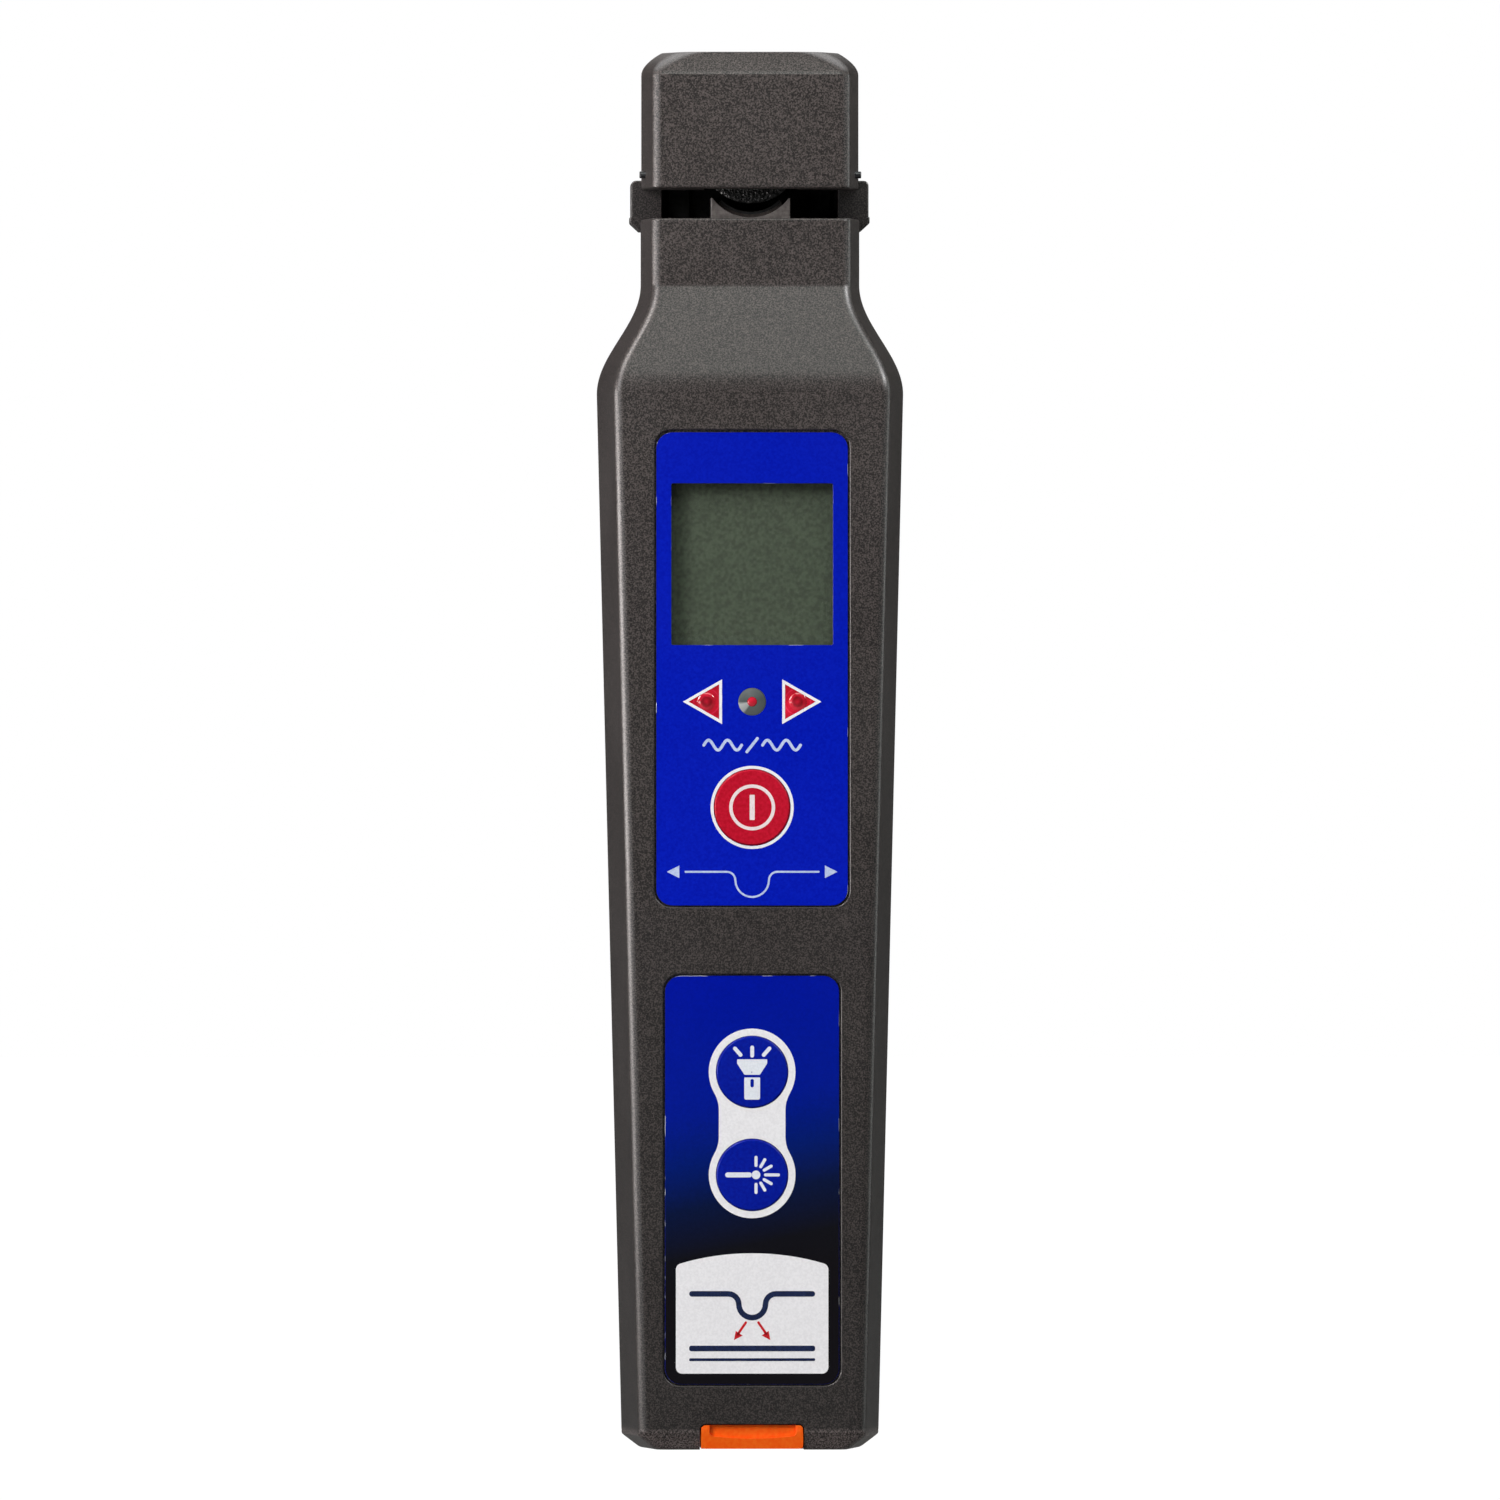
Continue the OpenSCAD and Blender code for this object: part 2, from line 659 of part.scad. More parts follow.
// One screw along Y with its head at the back
module screw_y(x, z, y, d, head_d, head_h) {
  socket_d = head_d / 2;
  socket_h = head_h / 2;
  difference() {
    union() {
      bar_y(x, y, z, d);
      bar_y(x, [y[1], y[1] + head_h], z, head_d);
    }
    for (a = [0, 90]) translate([x, y[1] + head_h - socket_h, z]) rotate([0, a, 0])
      translate([-socket_d / 2, 0, -socket_h / 4]) cube([socket_d, socket_h + overrun, socket_h / 2]);
  }
}

module shell_screws() color(steel)
  for (z = shell_screw_z) for (s = sides)
    screw_y(s * (half_w(z) - shell_screw_inset),
      z, [-shell_screw_reach + seat_gap, face_at(z, rear) - shell_screw_sink],
      shell_screw_d, shell_screw_head_d, shell_screw_head_h);

// Triangle over a direction light, its point away from the middle
module arrow(s, y) {
  translate([s * lights_pitch, y[1], lights_z]) rotate([90, 0, 0]) linear_extrude(y[1] - y[0])
    polygon([[-s * arrow_w / 2, -arrow_h / 2], [-s * arrow_w / 2, arrow_h / 2], [s * arrow_w / 2, 0]]);
}

module display_overlay() color("#1226b0") difference() {
  plate(display_w, display_z, [-pocket_y - overlay_t, -pocket_y], overlay_r);
  middle_block(window_side, [-face_y, -pocket_y + overrun], window_z);
  bar_y(0, [-face_y, -pocket_y + overrun], lights_z, light_window_d);
  bar_y(0, [-face_y, -pocket_y + overrun], power_z, power_d + 2 * fit_gap);
  for (s = sides) arrow(s, [-face_y, -pocket_y + overrun]);
}

module keypad_overlay() color("#101c86") difference() {
  plate(keypad_w, keypad_z, [-pocket_y - overlay_t, -pocket_y], overlay_r);
  for (z = [torch_z, laser_z])
    bar_y(0, [-face_y, -pocket_y + overrun], z, key_d + 2 * fit_gap);
}

module lcd_window() color([0.8, 0.85, 0.8, 0.5])
  middle_block(window_side + 2 * lcd_rim, [-wall_y, -wall_y + lcd_window_t],
    [window_z[0] - lcd_rim, window_z[1] + lcd_rim]);

module lcd_glass() color("#50564a")
  middle_block(window_side + 2 * lcd_rim,
    [-wall_y + lcd_window_t, -wall_y + lcd_window_t + lcd_glass_t],
    [window_z[0] - lcd_rim, window_z[1] + lcd_rim]);

module lcd_frame() color("#d8d8d2") difference() {
  middle_block(window_side + 2 * lcd_frame_rim, [-wall_y, -board_y],
    [window_z[0] - lcd_frame_rim, window_z[1] + lcd_frame_rim]);
  middle_block(window_side + 2 * lcd_rim, [-wall_y - overrun, -wall_y + lcd_window_t + lcd_glass_t],
    [window_z[0] - lcd_rim, window_z[1] + lcd_rim]);
}

module main_board() color(board_green) difference() {
  middle_block(board_w, [-board_y, -board_back_y], [board_low_z, board_high_z]);
  for (z = board_screw_z) for (s = sides)
    bar_y(s * board_screw_x, [-board_y - overrun, -board_back_y + overrun], z,
      small_screw_d + 2 * pin_gap);
}

module board_screws() color(steel)
  for (z = board_screw_z) for (s = sides)
    screw_y(s * board_screw_x, z, [-wall_y + seat_gap, -board_back_y], small_screw_d,
      small_screw_head_d, board_screw_head_h);

module board_chips() color(dark) {
  middle_block(chip_side, [-board_back_y, -board_back_y + chip_t],
    [window_z[0], window_z[0] + chip_side]);
  middle_block(small_chip_side, [-board_back_y, -board_back_y + chip_t],
    [window_z[0] + chip_step, window_z[0] + chip_step + small_chip_side]);
}

module buzzer() color(dark) difference() {
  bar_y(0, [-board_back_y, -board_back_y + buzzer_h], power_z, buzzer_d);
  bar_y(0, [-board_back_y + buzzer_h - buzzer_sink, -board_back_y + buzzer_h + overrun], power_z,
    buzzer_hole_d);
}

// Light with a round nose behind the overlay, standing on the board
module signal_light(x, nose_y) {
  flange_d = light_d + 2 * fit_gap;
  union() {
    bar_y(x, [nose_y + light_d / 2, -board_y], lights_z, light_d);
    bar_y(x, [-board_y - flange_t, -board_y], lights_z, flange_d);
    intersection() {
      translate([x, nose_y + light_d / 2, lights_z]) sphere(d = light_d);
      bar_y(x, [nose_y, nose_y + light_d / 2], lights_z, light_d);
    }
  }
}

module left_light() color("#c8102e") signal_light(-lights_pitch, -pocket_y + fit_gap);
module right_light() color("#c8102e") signal_light(lights_pitch, -pocket_y + fit_gap);
module no_signal_light() color("#c8102e") signal_light(0, -pocket_y + fit_gap);

// Button with a rolled rim, a flange behind the wall and a stem to its switch
module button(z, d) {
  top_y = -face_y + overlay_sink - cap_proud;
  flange_y = -wall_y + pin_gap;
  translate([0, 0, z]) rotate([-90, 0, 0]) rotate_extrude() polygon([
    [0, top_y],
    [d / 2 - cap_edge_r, top_y],
    [d / 2, top_y + cap_edge_r],
    [d / 2, flange_y],
    [d / 2 + flange_lap, flange_y],
    [d / 2 + flange_lap, flange_y + flange_t],
    [stem_d / 2, flange_y + flange_t],
    [stem_d / 2, flange_y + flange_t + stem_reach],
    [0, flange_y + flange_t + stem_reach]
  ]);
}

module power_button() color("#c40a25") button(power_z, power_d);
module torch_button() color("#1226b0") button(torch_z, key_d);
module laser_button() color("#1226b0") button(laser_z, key_d);

// Switch with a well for the button's stem
module switch(z) {
  well_y = -wall_y + pin_gap + flange_t + stem_reach + key_travel + dome_gap;
  difference() {
    middle_block(switch_side, [-board_y - switch_h, -board_y],
      [z - switch_side / 2, z + switch_side / 2]);
    bar_y(0, [-wall_y, well_y], z, stem_d + 2 * fit_gap);
  }
}

module power_switch() color(dark) switch(power_z);
module torch_switch() color(dark) switch(torch_z);
module laser_switch() color(dark) switch(laser_z);

module cell(s) {
  bar_z(s * cell_x, cell_y, [cell_z[0], cell_z[1] - cell_tip_h], cell_d);
  bar_z(s * cell_x, cell_y, [cell_z[1] - cell_tip_h, cell_z[1]], cell_tip_d);
}

module left_cell() color("#30343a") cell(-1);
// The right cell lies the other way up
module right_cell() color("#30343a")
  translate([0, 0, cell_z[0] + cell_z[1]]) mirror([0, 0, 1]) cell(1);

// Contact plate across one end of the bay, with a bump for each cell
module contacts(z, turn, bump_h) {
  middle_block(2 * (bay_half - fit_gap), [bay_floor_y + fit_gap, door_inner_y - 2 * seat_gap],
    turn > 0 ? [z, z + contact_t] : [z - contact_t, z]);
  for (s = sides) bar_z(s * cell_x, cell_y,
    turn > 0 ? [z + contact_t, z + contact_t + bump_h] : [z - contact_t - bump_h, z - contact_t],
    contact_bump_d);
}

module lower_contacts() color(steel) contacts(bay_z[0], 1, lower_bump_h);
module upper_contacts() color(steel) contacts(bay_z[1], -1, upper_bump_h);

module battery_door() color(body_grey) difference() {
  union() {
    middle_block(2 * door_half, [door_inner_y, face_y - door_sink], door_z);
    bar_x([-door_half, door_half], door_axis_y, door_axis_z, barrel_d - 2 * door_sink);
    bar_x([-door_half - door_stub_h, door_half + door_stub_h], door_axis_y, door_axis_z,
      door_stub_d);
  }
  for (i = [0 : grip_count - 1])
    bar_x([-grip_w / 2, grip_w / 2], face_y - door_sink, door_z[1] - grip_pitch * (i + 2), grip_d);
}

module laser_module() color("#8d9096") difference() {
  bar_z(0, laser_y, [laser_seat_z, laser_seat_z + laser_h], laser_d);
  bar_z(0, laser_y, [laser_seat_z - overrun, sleeve_z[1] + lens_gap], sleeve_d + 2 * pin_gap);
}

module laser_sleeve() color(steel) difference() {
  bar_z(0, laser_y, sleeve_z, sleeve_d);
  bar_z(0, laser_y, [sleeve_z[0] - overrun, sleeve_z[1] + overrun], ferrule_bore_d);
}

// Outline of the port cover seen from the side: lip at the front, plate below
module port_cover() color("#ff6a14") difference() {
  union() {
    translate([-cover_w / 2, 0, 0]) rotate([90, 0, 90]) linear_extrude(cover_w) polygon([
      [-face_y + bottom_bevel_face, port_cover_sink],
      [port_axis_y, port_cover_sink],
      [port_axis_y, port_cover_sink + cover_t],
      [-face_y + port_lip_t, port_cover_sink + cover_t],
      [-face_y + port_lip_t, cover_lip_h],
      [-face_y + port_cover_sink, cover_lip_h],
      [-face_y + port_cover_sink, bottom_bevel_h]
    ]);
    bar_x([-cover_w / 2, cover_w / 2], port_axis_y, port_axis_z, port_barrel_d);
  }
  bar_x([-cover_w, cover_w], port_axis_y, port_axis_z, port_pin_d + 2 * pin_gap);
  bar_x([-nail_notch_w / 2, nail_notch_w / 2], -face_y, nail_notch_rise, nail_notch_d);
}

module port_cover_pin() color(steel)
  bar_x([-port_block_w / 2, port_block_w / 2], port_axis_y, port_axis_z, port_pin_d);

module torch_lens() color([0.9, 0.93, 0.95, 0.6])
  bar_z(0, torch_y, [torch_lens_sink, torch_lens_sink + torch_lens_t], torch_lens_d);

module torch_light() color("#e8e8e0") {
  bar_z(0, torch_y, [torch_led_z + torch_led_d / 2, torch_led_z + torch_led_h], torch_led_d);
  intersection() {
    translate([0, torch_y, torch_led_z + torch_led_d / 2]) sphere(d = torch_led_d);
    bar_z(0, torch_y, [torch_led_z, torch_led_z + torch_led_d / 2], torch_led_d);
  }
  bar_z(0, torch_y,
    [torch_led_z + torch_led_h - torch_led_flange_t, torch_led_z + torch_led_h],
    torch_led_flange_d);
}

// Half of the head, with its top bevelled and its edges as on the neck
function head_level(z, shrink, side) = level(
  z, head_w / 2 - shrink,
  (side == front ? neck_front_y + head_seam_y : neck_rear_y - head_seam_y) - shrink,
  head_lean, edge_r, side, head_seam_y
);

function head_inner_level(z, side, shrink) = level(
  z, head_w / 2 - head_wall - shrink,
  (side == front ? neck_front_y : neck_rear_y) + overrun - head_wall - shrink,
  head_lean, edge_r * inner_edge_share, side, side == front ? overrun + head_seam_y : head_seam_y - overrun
);

module head_half(side) difference() {
  loft([
    head_level(head_z, 0, side),
    head_level(top_z - head_bevel_h, 0, side),
    head_level(top_z - head_top_roll, head_bevel_w - head_top_roll, side),
    head_level(top_z, head_bevel_w + head_top_roll / 2, side)
  ], side);
  loft([
    head_inner_level(head_floor_z, side, 0),
    head_inner_level(top_z - head_bevel_h - head_wall / 2, side, 0),
    head_inner_level(top_z - head_wall, side, head_bevel_w - head_wall / 2)
  ], side);
}

module head_frame() color(body_grey) difference() {
  union() {
    head_half(rear);
    middle_block(2 * spine_half, [spine_y, neck_rear_y - head_wall / 4], [neck_top_z, head_floor_z]);
    for (s = sides) mirror([s < 0 ? 1 : 0, 0, 0]) {
      translate([0, head_seam_y + ear_d, 0]) rotate([90, 0, 0]) linear_extrude(ear_d) polygon([
        [spine_half, neck_top_z],
        [ear_foot_x, neck_top_z],
        [ear_foot_x, ear_z[0]],
        [spine_half + ear_w - ear_foot_bevel, ear_z[0]],
        [spine_half + ear_w, ear_z[0] + ear_foot_bevel],
        [spine_half + ear_w, ear_z[1] - head_top_roll],
        [spine_half + ear_w - head_top_roll, ear_z[1]],
        [spine_half, ear_z[1]]
      ]);
      block([leg_x[0], leg_y[0], leg_z[0]], [leg_x[1], leg_y[1], neck_top_z + fit_gap]);
      block([leg_x[0], leg_y[0], neck_top_z], [leg_x[1], leg_y[1], head_floor_z]);
      bar_y(head_cover_screw_x, [head_seam_y, neck_rear_y - head_wall / 2], head_cover_screw_z,
        head_boss_d);
    }
  }
  for (s = sides) {
    bar_y(s * leg_screw_x, [leg_y[0] + head_wall / 2, leg_y[1] + overrun], leg_screw_z,
      shell_screw_d + 2 * pin_gap);
    bar_y(s * head_cover_screw_x, [0, neck_rear_y + overrun], head_cover_screw_z,
      shell_screw_d + 2 * pin_gap);
    bar_y(s * head_cover_screw_x, [neck_rear_y - head_screw_sink, neck_rear_y + overrun],
      head_cover_screw_z, shell_screw_head_d + 2 * pin_gap);
  }
  middle_block(seal_w + 2 * fit_gap, [0, presser_y[1] + fit_gap],
    [head_z - overrun, head_floor_z + overrun]);
}

module head_cover() color(body_grey) difference() {
  union() {
    head_half(front);
    for (s = sides)
      bar_y(s * head_cover_screw_x, [-neck_front_y + head_wall / 2, head_seam_y],
        head_cover_screw_z, head_boss_d);
  }
  for (s = sides)
    bar_y(s * head_cover_screw_x, [-shell_screw_reach, head_seam_y + overrun],
      head_cover_screw_z, shell_screw_d + 2 * pin_gap);
  middle_block(seal_w + 2 * fit_gap, [presser_y[0] - seal_t - fit_gap, head_seam_y + overrun],
    [head_z - overrun, head_floor_z + overrun]);
  bar_x([-head_w, head_w], presser_pin_y, presser_pin_z, presser_pin_d + 2 * pin_gap);
}

module head_screws() color(steel)
  for (s = sides)
    screw_y(s * leg_screw_x, leg_screw_z,
      [leg_y[0] + head_wall, neck_rear_y - shell_screw_head_h],
      shell_screw_d, shell_screw_head_d, shell_screw_head_h - pin_gap);

module head_cover_screws() color(steel)
  for (s = sides)
    screw_y(s * head_cover_screw_x, head_cover_screw_z,
      [-shell_screw_reach + seat_gap, neck_rear_y - head_screw_sink],
      shell_screw_d, shell_screw_head_d, shell_screw_head_h);

module fibre_presser() color(dark) difference() {
  union() {
    bar_y(0, presser_y, presser_axis_z, 2 * presser_r);
    middle_block(2 * presser_r, presser_y, [presser_axis_z, presser_axis_z + presser_h]);
  }
  bar_x([-presser_r - overrun, presser_r + overrun], presser_pin_y, presser_pin_z,
    presser_pin_d + 2 * pin_gap);
}

module light_seal() color(dark) intersection() {
  bar_y(0, [presser_y[0] - seal_t, presser_y[0]], presser_low_z - seal_drop + seal_r, 2 * seal_r);
  middle_block(seal_w, [presser_y[0] - seal_t, presser_y[0]],
    [presser_low_z - seal_drop, presser_axis_z]);
}

module presser_pin() color(steel)
  bar_x([-presser_pin_half, presser_pin_half], presser_pin_y, presser_pin_z, presser_pin_d);

module fibre_adapter() color("#9a948a") difference() {
  middle_block(adapter_w, adapter_y, [adapter_low_z, adapter_top_z]);
  bar_y(0, [adapter_y[0] - overrun, adapter_y[1] + overrun], groove_z + groove_r, 2 * groove_r);
  for (s = sides) bar_z(s * photodiode_x, photodiode_y,
    [adapter_low_z - overrun, adapter_low_z + photodiode_h + fit_gap],
    photodiode_d + 2 * pin_gap);
}

module detector_board() color(board_green)
  middle_block(adapter_w, adapter_y, [carriage_z[1], adapter_low_z]);

module photodiode(s) {
  bar_z(s * photodiode_x, photodiode_y, [adapter_low_z, adapter_low_z + photodiode_h], photodiode_d);
}

module left_photodiode() color(steel) photodiode(-1);
module right_photodiode() color(steel) photodiode(1);

module carriage() color(dark) difference() {
  middle_block(carriage_w, carriage_y, carriage_z);
  for (s = sides) {
    bar_z(s * guide_rod_pitch / 2, rod_y, [carriage_z[0] - overrun, carriage_z[1] + overrun],
      guide_rod_d + 2 * pin_gap);
    bar_y(s * trigger_screw_x, [carriage_y[0] - overrun, carriage_y[1] + overrun],
      (stem_z[0] + stem_z[1]) / 2, small_screw_d + 2 * pin_gap);
    bar_y(s * trigger_screw_x, [carriage_y[0] - overrun, carriage_y[0] + small_head_h],
      (stem_z[0] + stem_z[1]) / 2, small_screw_head_d + 2 * pin_gap);
  }
}

module guide_rods() color(steel)
  for (s = sides)
    bar_z(s * guide_rod_pitch / 2, rod_y, [rod_low_z, carriage_z[1]], guide_rod_d);

// Return spring round a guide rod, from the bracket up to the carriage
module return_spring(s) difference() {
  bar_z(s * guide_rod_pitch / 2, rod_y, [bracket_z[1], carriage_z[0]], spring_d);
  bar_z(s * guide_rod_pitch / 2, rod_y, [bracket_z[1] - overrun, carriage_z[0] + overrun],
    guide_rod_d + 2 * seat_gap);
}

module left_return_spring() color(steel) return_spring(-1);
module right_return_spring() color(steel) return_spring(1);

module slide_bracket() color(dark) difference() {
  union() {
    middle_block(bracket_w, bracket_y, bracket_z);
    for (s = sides)
      block([s * bracket_screw_x - bracket_tab_w / 2, bracket_y[1] - bracket_tab_t, bracket_z[0]],
        [s * bracket_screw_x + bracket_tab_w / 2, bracket_y[1], bracket_z[1] + bracket_tab_h]);
  }
  for (s = sides) {
    bar_z(s * guide_rod_pitch / 2, rod_y, [bracket_z[0] - overrun, bracket_z[1] + overrun],
      guide_rod_d + 2 * pin_gap);
    bar_y(s * bracket_screw_x, [bracket_y[1] - bracket_tab_t - overrun, bracket_y[1] + overrun],
      bracket_screw_z, small_screw_d + 2 * pin_gap);
  }
}

// Screw along Y with its head at the front
module front_screw(x, z, y) {
  bar_y(x, y, z, small_screw_d);
  bar_y(x, [y[0] - small_head_h, y[0]], z, small_screw_head_d);
}

module bracket_screws() color(steel)
  for (s = sides)
    front_screw(s * bracket_screw_x, bracket_screw_z,
      [bracket_y[1] - bracket_tab_t, bracket_y[1] + small_reach - seat_gap]);

module trigger() color(dark) difference() {
  union() {
    plate(trigger_w, pad_z, [neck_rear_y + pad_gap, neck_rear_y + pad_gap + pad_t - ridge_d / 2],
      pad_edge_r);
    for (i = [0 : ridge_count - 1])
      bar_x([-trigger_w / 2 + pad_edge_r, trigger_w / 2 - pad_edge_r], face_y - ridge_d / 2,
        (pad_z[0] + pad_z[1] - ridge_pitch * (ridge_count - 1)) / 2 + i * ridge_pitch, ridge_d);
    middle_block(stem_w, [carriage_y[1], neck_rear_y + pad_gap + pad_t / 2], stem_z);
  }
  for (s = sides)
    bar_y(s * trigger_screw_x, [carriage_y[1] - overrun, carriage_y[1] + trigger_screw_reach],
      (stem_z[0] + stem_z[1]) / 2, small_screw_d + 2 * pin_gap);
}

module trigger_screws() color(steel)
  for (s = sides)
    front_screw(s * trigger_screw_x, (stem_z[0] + stem_z[1]) / 2,
      [carriage_y[0] + small_head_h, carriage_y[1] + trigger_screw_reach - seat_gap]);

front_shell();
rear_shell();
shell_screws();
display_overlay();
keypad_overlay();
lcd_window();
lcd_glass();
lcd_frame();
main_board();
board_screws();
board_chips();
buzzer();
left_light();
right_light();
no_signal_light();
power_button();
torch_button();
laser_button();
power_switch();
torch_switch();
laser_switch();
left_cell();
right_cell();
lower_contacts();
upper_contacts();
battery_door();
laser_module();
laser_sleeve();
port_cover();
port_cover_pin();
torch_lens();
torch_light();
head_frame();
head_cover();
head_screws();
head_cover_screws();
fibre_presser();
light_seal();
presser_pin();
fibre_adapter();
detector_board();
left_photodiode();
right_photodiode();
carriage();
guide_rods();
left_return_spring();
right_return_spring();
slide_bracket();
bracket_screws();
trigger();
trigger_screws();
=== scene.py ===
from math import atan2, cos, degrees, hypot, pi, radians, sin, sqrt, tan

import bmesh
import bpy
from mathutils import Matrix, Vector, noise


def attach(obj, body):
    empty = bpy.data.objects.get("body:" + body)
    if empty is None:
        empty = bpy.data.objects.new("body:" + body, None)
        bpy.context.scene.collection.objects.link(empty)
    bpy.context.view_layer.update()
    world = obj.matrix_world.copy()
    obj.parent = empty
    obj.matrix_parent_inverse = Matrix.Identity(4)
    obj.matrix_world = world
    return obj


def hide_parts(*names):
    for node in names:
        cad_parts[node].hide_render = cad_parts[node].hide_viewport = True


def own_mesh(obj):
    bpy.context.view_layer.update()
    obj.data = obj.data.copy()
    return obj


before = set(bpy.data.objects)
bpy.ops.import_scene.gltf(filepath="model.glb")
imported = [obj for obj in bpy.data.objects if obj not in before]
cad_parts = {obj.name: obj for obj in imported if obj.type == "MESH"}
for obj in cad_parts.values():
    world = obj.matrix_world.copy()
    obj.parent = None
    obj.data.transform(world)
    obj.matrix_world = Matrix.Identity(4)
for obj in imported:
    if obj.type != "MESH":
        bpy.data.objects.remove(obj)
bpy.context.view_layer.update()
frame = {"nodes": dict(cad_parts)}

# Sizes are in millimetres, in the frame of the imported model. Lamps, camera and shader fields are in metres
MM = 0.001
FRONT, REAR = -1, 1
SIDES = (-1, 1)

# Form of the body, from its bottom end up to the neck
BODY_H, SHOULDER_H, NECK_TOP = 151.0, 15.7, 176.1
BODY_TOP_HALF, BODY_BOTTOM_HALF, NECK_HALF = 22.0, 18.4, 15.7
FACE, NECK = 15.0, {FRONT: 9.5, REAR: 10.0}
SCOOP_Z, SCOOP_H = 132.0, 17.0
DRAFT, EDGE_R, WALL, FLOOR = 2.1, 1.5, 2.0, 2.2
BEVEL_H, BEVEL_SIDE_H, BEVEL_SIDE, BEVEL_FACE = 2.5, 2.0, 2.6, 1.4
POCKET, SLOPE_BEND, SEAM_BEVEL, INNER_R = 14.4, 0.2, 0.12, 0.75

# Form of the head
HEAD_Z, HEAD_TOP, HEAD_FLOOR, HEAD_HALF = 180.35, 200.0, 181.95, 15.6
HEAD_SEAM, HEAD_LEAN, HEAD_BOSS = 1.0, 1.33, 2.6

# Places on the front
DISPLAY, DISPLAY_POCKET = ((-13.7, 13.7), (77.75, 145.4)), ((-13.95, 13.95), (77.55, 145.75))
KEYPAD, KEYPAD_POCKET = ((-12.45, 12.45), (9.35, 67.75)), ((-12.7, 12.7), (9.15, 67.95))
WINDOW = ((-11.55, 11.55), (115.0, 138.1))
LIGHTS_Z, LIGHTS_X, LIGHT_R = 106.9, 7.1, 2.0
POWER_Z, TORCH_Z, LASER_Z = 91.8, 54.0, 39.3
POWER_R, KEY_R, KEY_GAP, PRINT_GAP = 5.45, 5.15, 0.15, 0.05
KEYS = ((POWER_Z, POWER_R), (TORCH_Z, KEY_R), (LASER_Z, KEY_R))
FILM, LABEL, CAP = 14.8, 14.82, 14.98  # faces of the films, the white plate and the keys

# Places of screws as x and z, and of pins and hinges as the two distances across their axis
BOARD_SCREWS = [(s * 9.0, z) for z in (16, 75.2, 143) for s in SIDES]
BRACKET_SCREWS, HEAD_SCREWS, COVER_SCREWS, TRIGGER_SCREWS = (
    [(s * x, z) for s in SIDES] for x, z in ((11.5, 154), (10.1, 168.3), (10.4, 192.4), (3, 163)))
BORE, SMALL_BORE, PIN_BORE = 1.05, 0.75, 0.55
PIN, DOOR_HINGE, FLAP_HINGE = (-2.5, 182.45), (13.8, 9.85), (2.0, 1.2)
TORCH, PORT, GROOVE = (0, 9.6), (0, -4), (0, 183.0)
CELL_X, CELL_Y = 5.4, 7.9


# ---- Mesh tools ----

def place(axis, u, v, w):
    """Point given by two distances across an axis and one along it."""
    return {"x": (w, u, v), "y": (u, w, v), "z": (u, v, w)}[axis]


def add(name, data, where=(0, 0, 0), aim=None):
    """New object in the scene, turned to look at its aim if it has one."""
    made = bpy.data.objects.new(name, data)
    made.location = where
    if aim:
        made.rotation_euler = (Vector(aim) - Vector(where)).to_track_quat("-Z", "Y").to_euler()
    bpy.context.scene.collection.objects.link(made)
    return made


def link(name, mesh):
    """Object that shows a bmesh, which is used up."""
    data = bpy.data.meshes.new(name)
    mesh.to_mesh(data)
    mesh.free()
    return add(name, data)


def solid(name, rings, loop=False):
    """Closed solid over a stack of rings with the same count of points. A loop joins its last ring to its first."""
    mesh = bmesh.new()
    rows = [[mesh.verts.new([c * MM for c in point]) for point in ring] for ring in rings]
    count = len(rows[0])
    for low, high in zip(rows, rows[1:] + rows[:1] if loop else rows[1:]):
        for j in range(count):
            k = (j + 1) % count
            mesh.faces.new((low[j], low[k], high[k], high[j]))
    if not loop:
        mesh.faces.new(rows[0][::-1])
        mesh.faces.new(rows[-1])
    bmesh.ops.remove_doubles(mesh, verts=mesh.verts, dist=2e-7)
    bmesh.ops.recalc_face_normals(mesh, faces=mesh.faces)
    return link(name, mesh)


def shape(points):
    """Outline of a polygon, as a function of how far it grows."""
    turns = sum(a[0] * b[1] - b[0] * a[1] for a, b in zip(points, points[1:] + points[:1]))
    ring = [Vector(p) for p in (points if turns > 0 else points[::-1])]
    corners = []
    for before, here, after in zip(ring[-1:] + ring[:-1], ring, ring[1:] + ring[:1]):
        a, b = (here - before).normalized(), (after - here).normalized()
        out = Vector((a.y + b.y, -a.x - b.x)).normalized()
        corners.append((here, out / max(out.dot(Vector((a.y, -a.x))), 0.3)))
    return lambda grow: [tuple(p + out * grow) for p, out in corners]


def disc(u, v, r=0.0, steps=64):
    """Outline of a circle, as a function of how far it grows."""
    turn = [2 * pi * i / steps for i in range(steps)]
    return lambda grow: [(u + (r + grow) * cos(a), v + (r + grow) * sin(a)) for a in turn]


def arc(centre, r, start, end, steps=12):
    """Points along an arc, its angles in degrees."""
    turn = [radians(start + (end - start) * i / steps) for i in range(steps + 1)]
    return [(centre[0] + r * cos(a), centre[1] + r * sin(a)) for a in turn]


def rounded(points, radii, steps=6):
    """Polygon with its corners replaced by arcs."""
    radii = radii if isinstance(radii, (list, tuple)) else [radii] * len(points)
    made = []
    for i, r in enumerate(radii):
        before, here, after = (Vector(points[k % len(points)]) for k in (i - 1, i, i + 1))
        if r <= 0:
            made.append(tuple(here))
            continue
        a, b = (before - here).normalized(), (after - here).normalized()
        half = a.angle(b) / 2
        centre = here + (a + b).normalized() * (r / sin(half))
        tips = [here + d * (r / tan(half)) - centre for d in (a, b)]
        first, last = (atan2(tip.y, tip.x) for tip in tips)
        sweep = (last - first + pi) % (2 * pi) - pi
        made += arc(centre, r, degrees(first), degrees(first + sweep), steps)
    return made


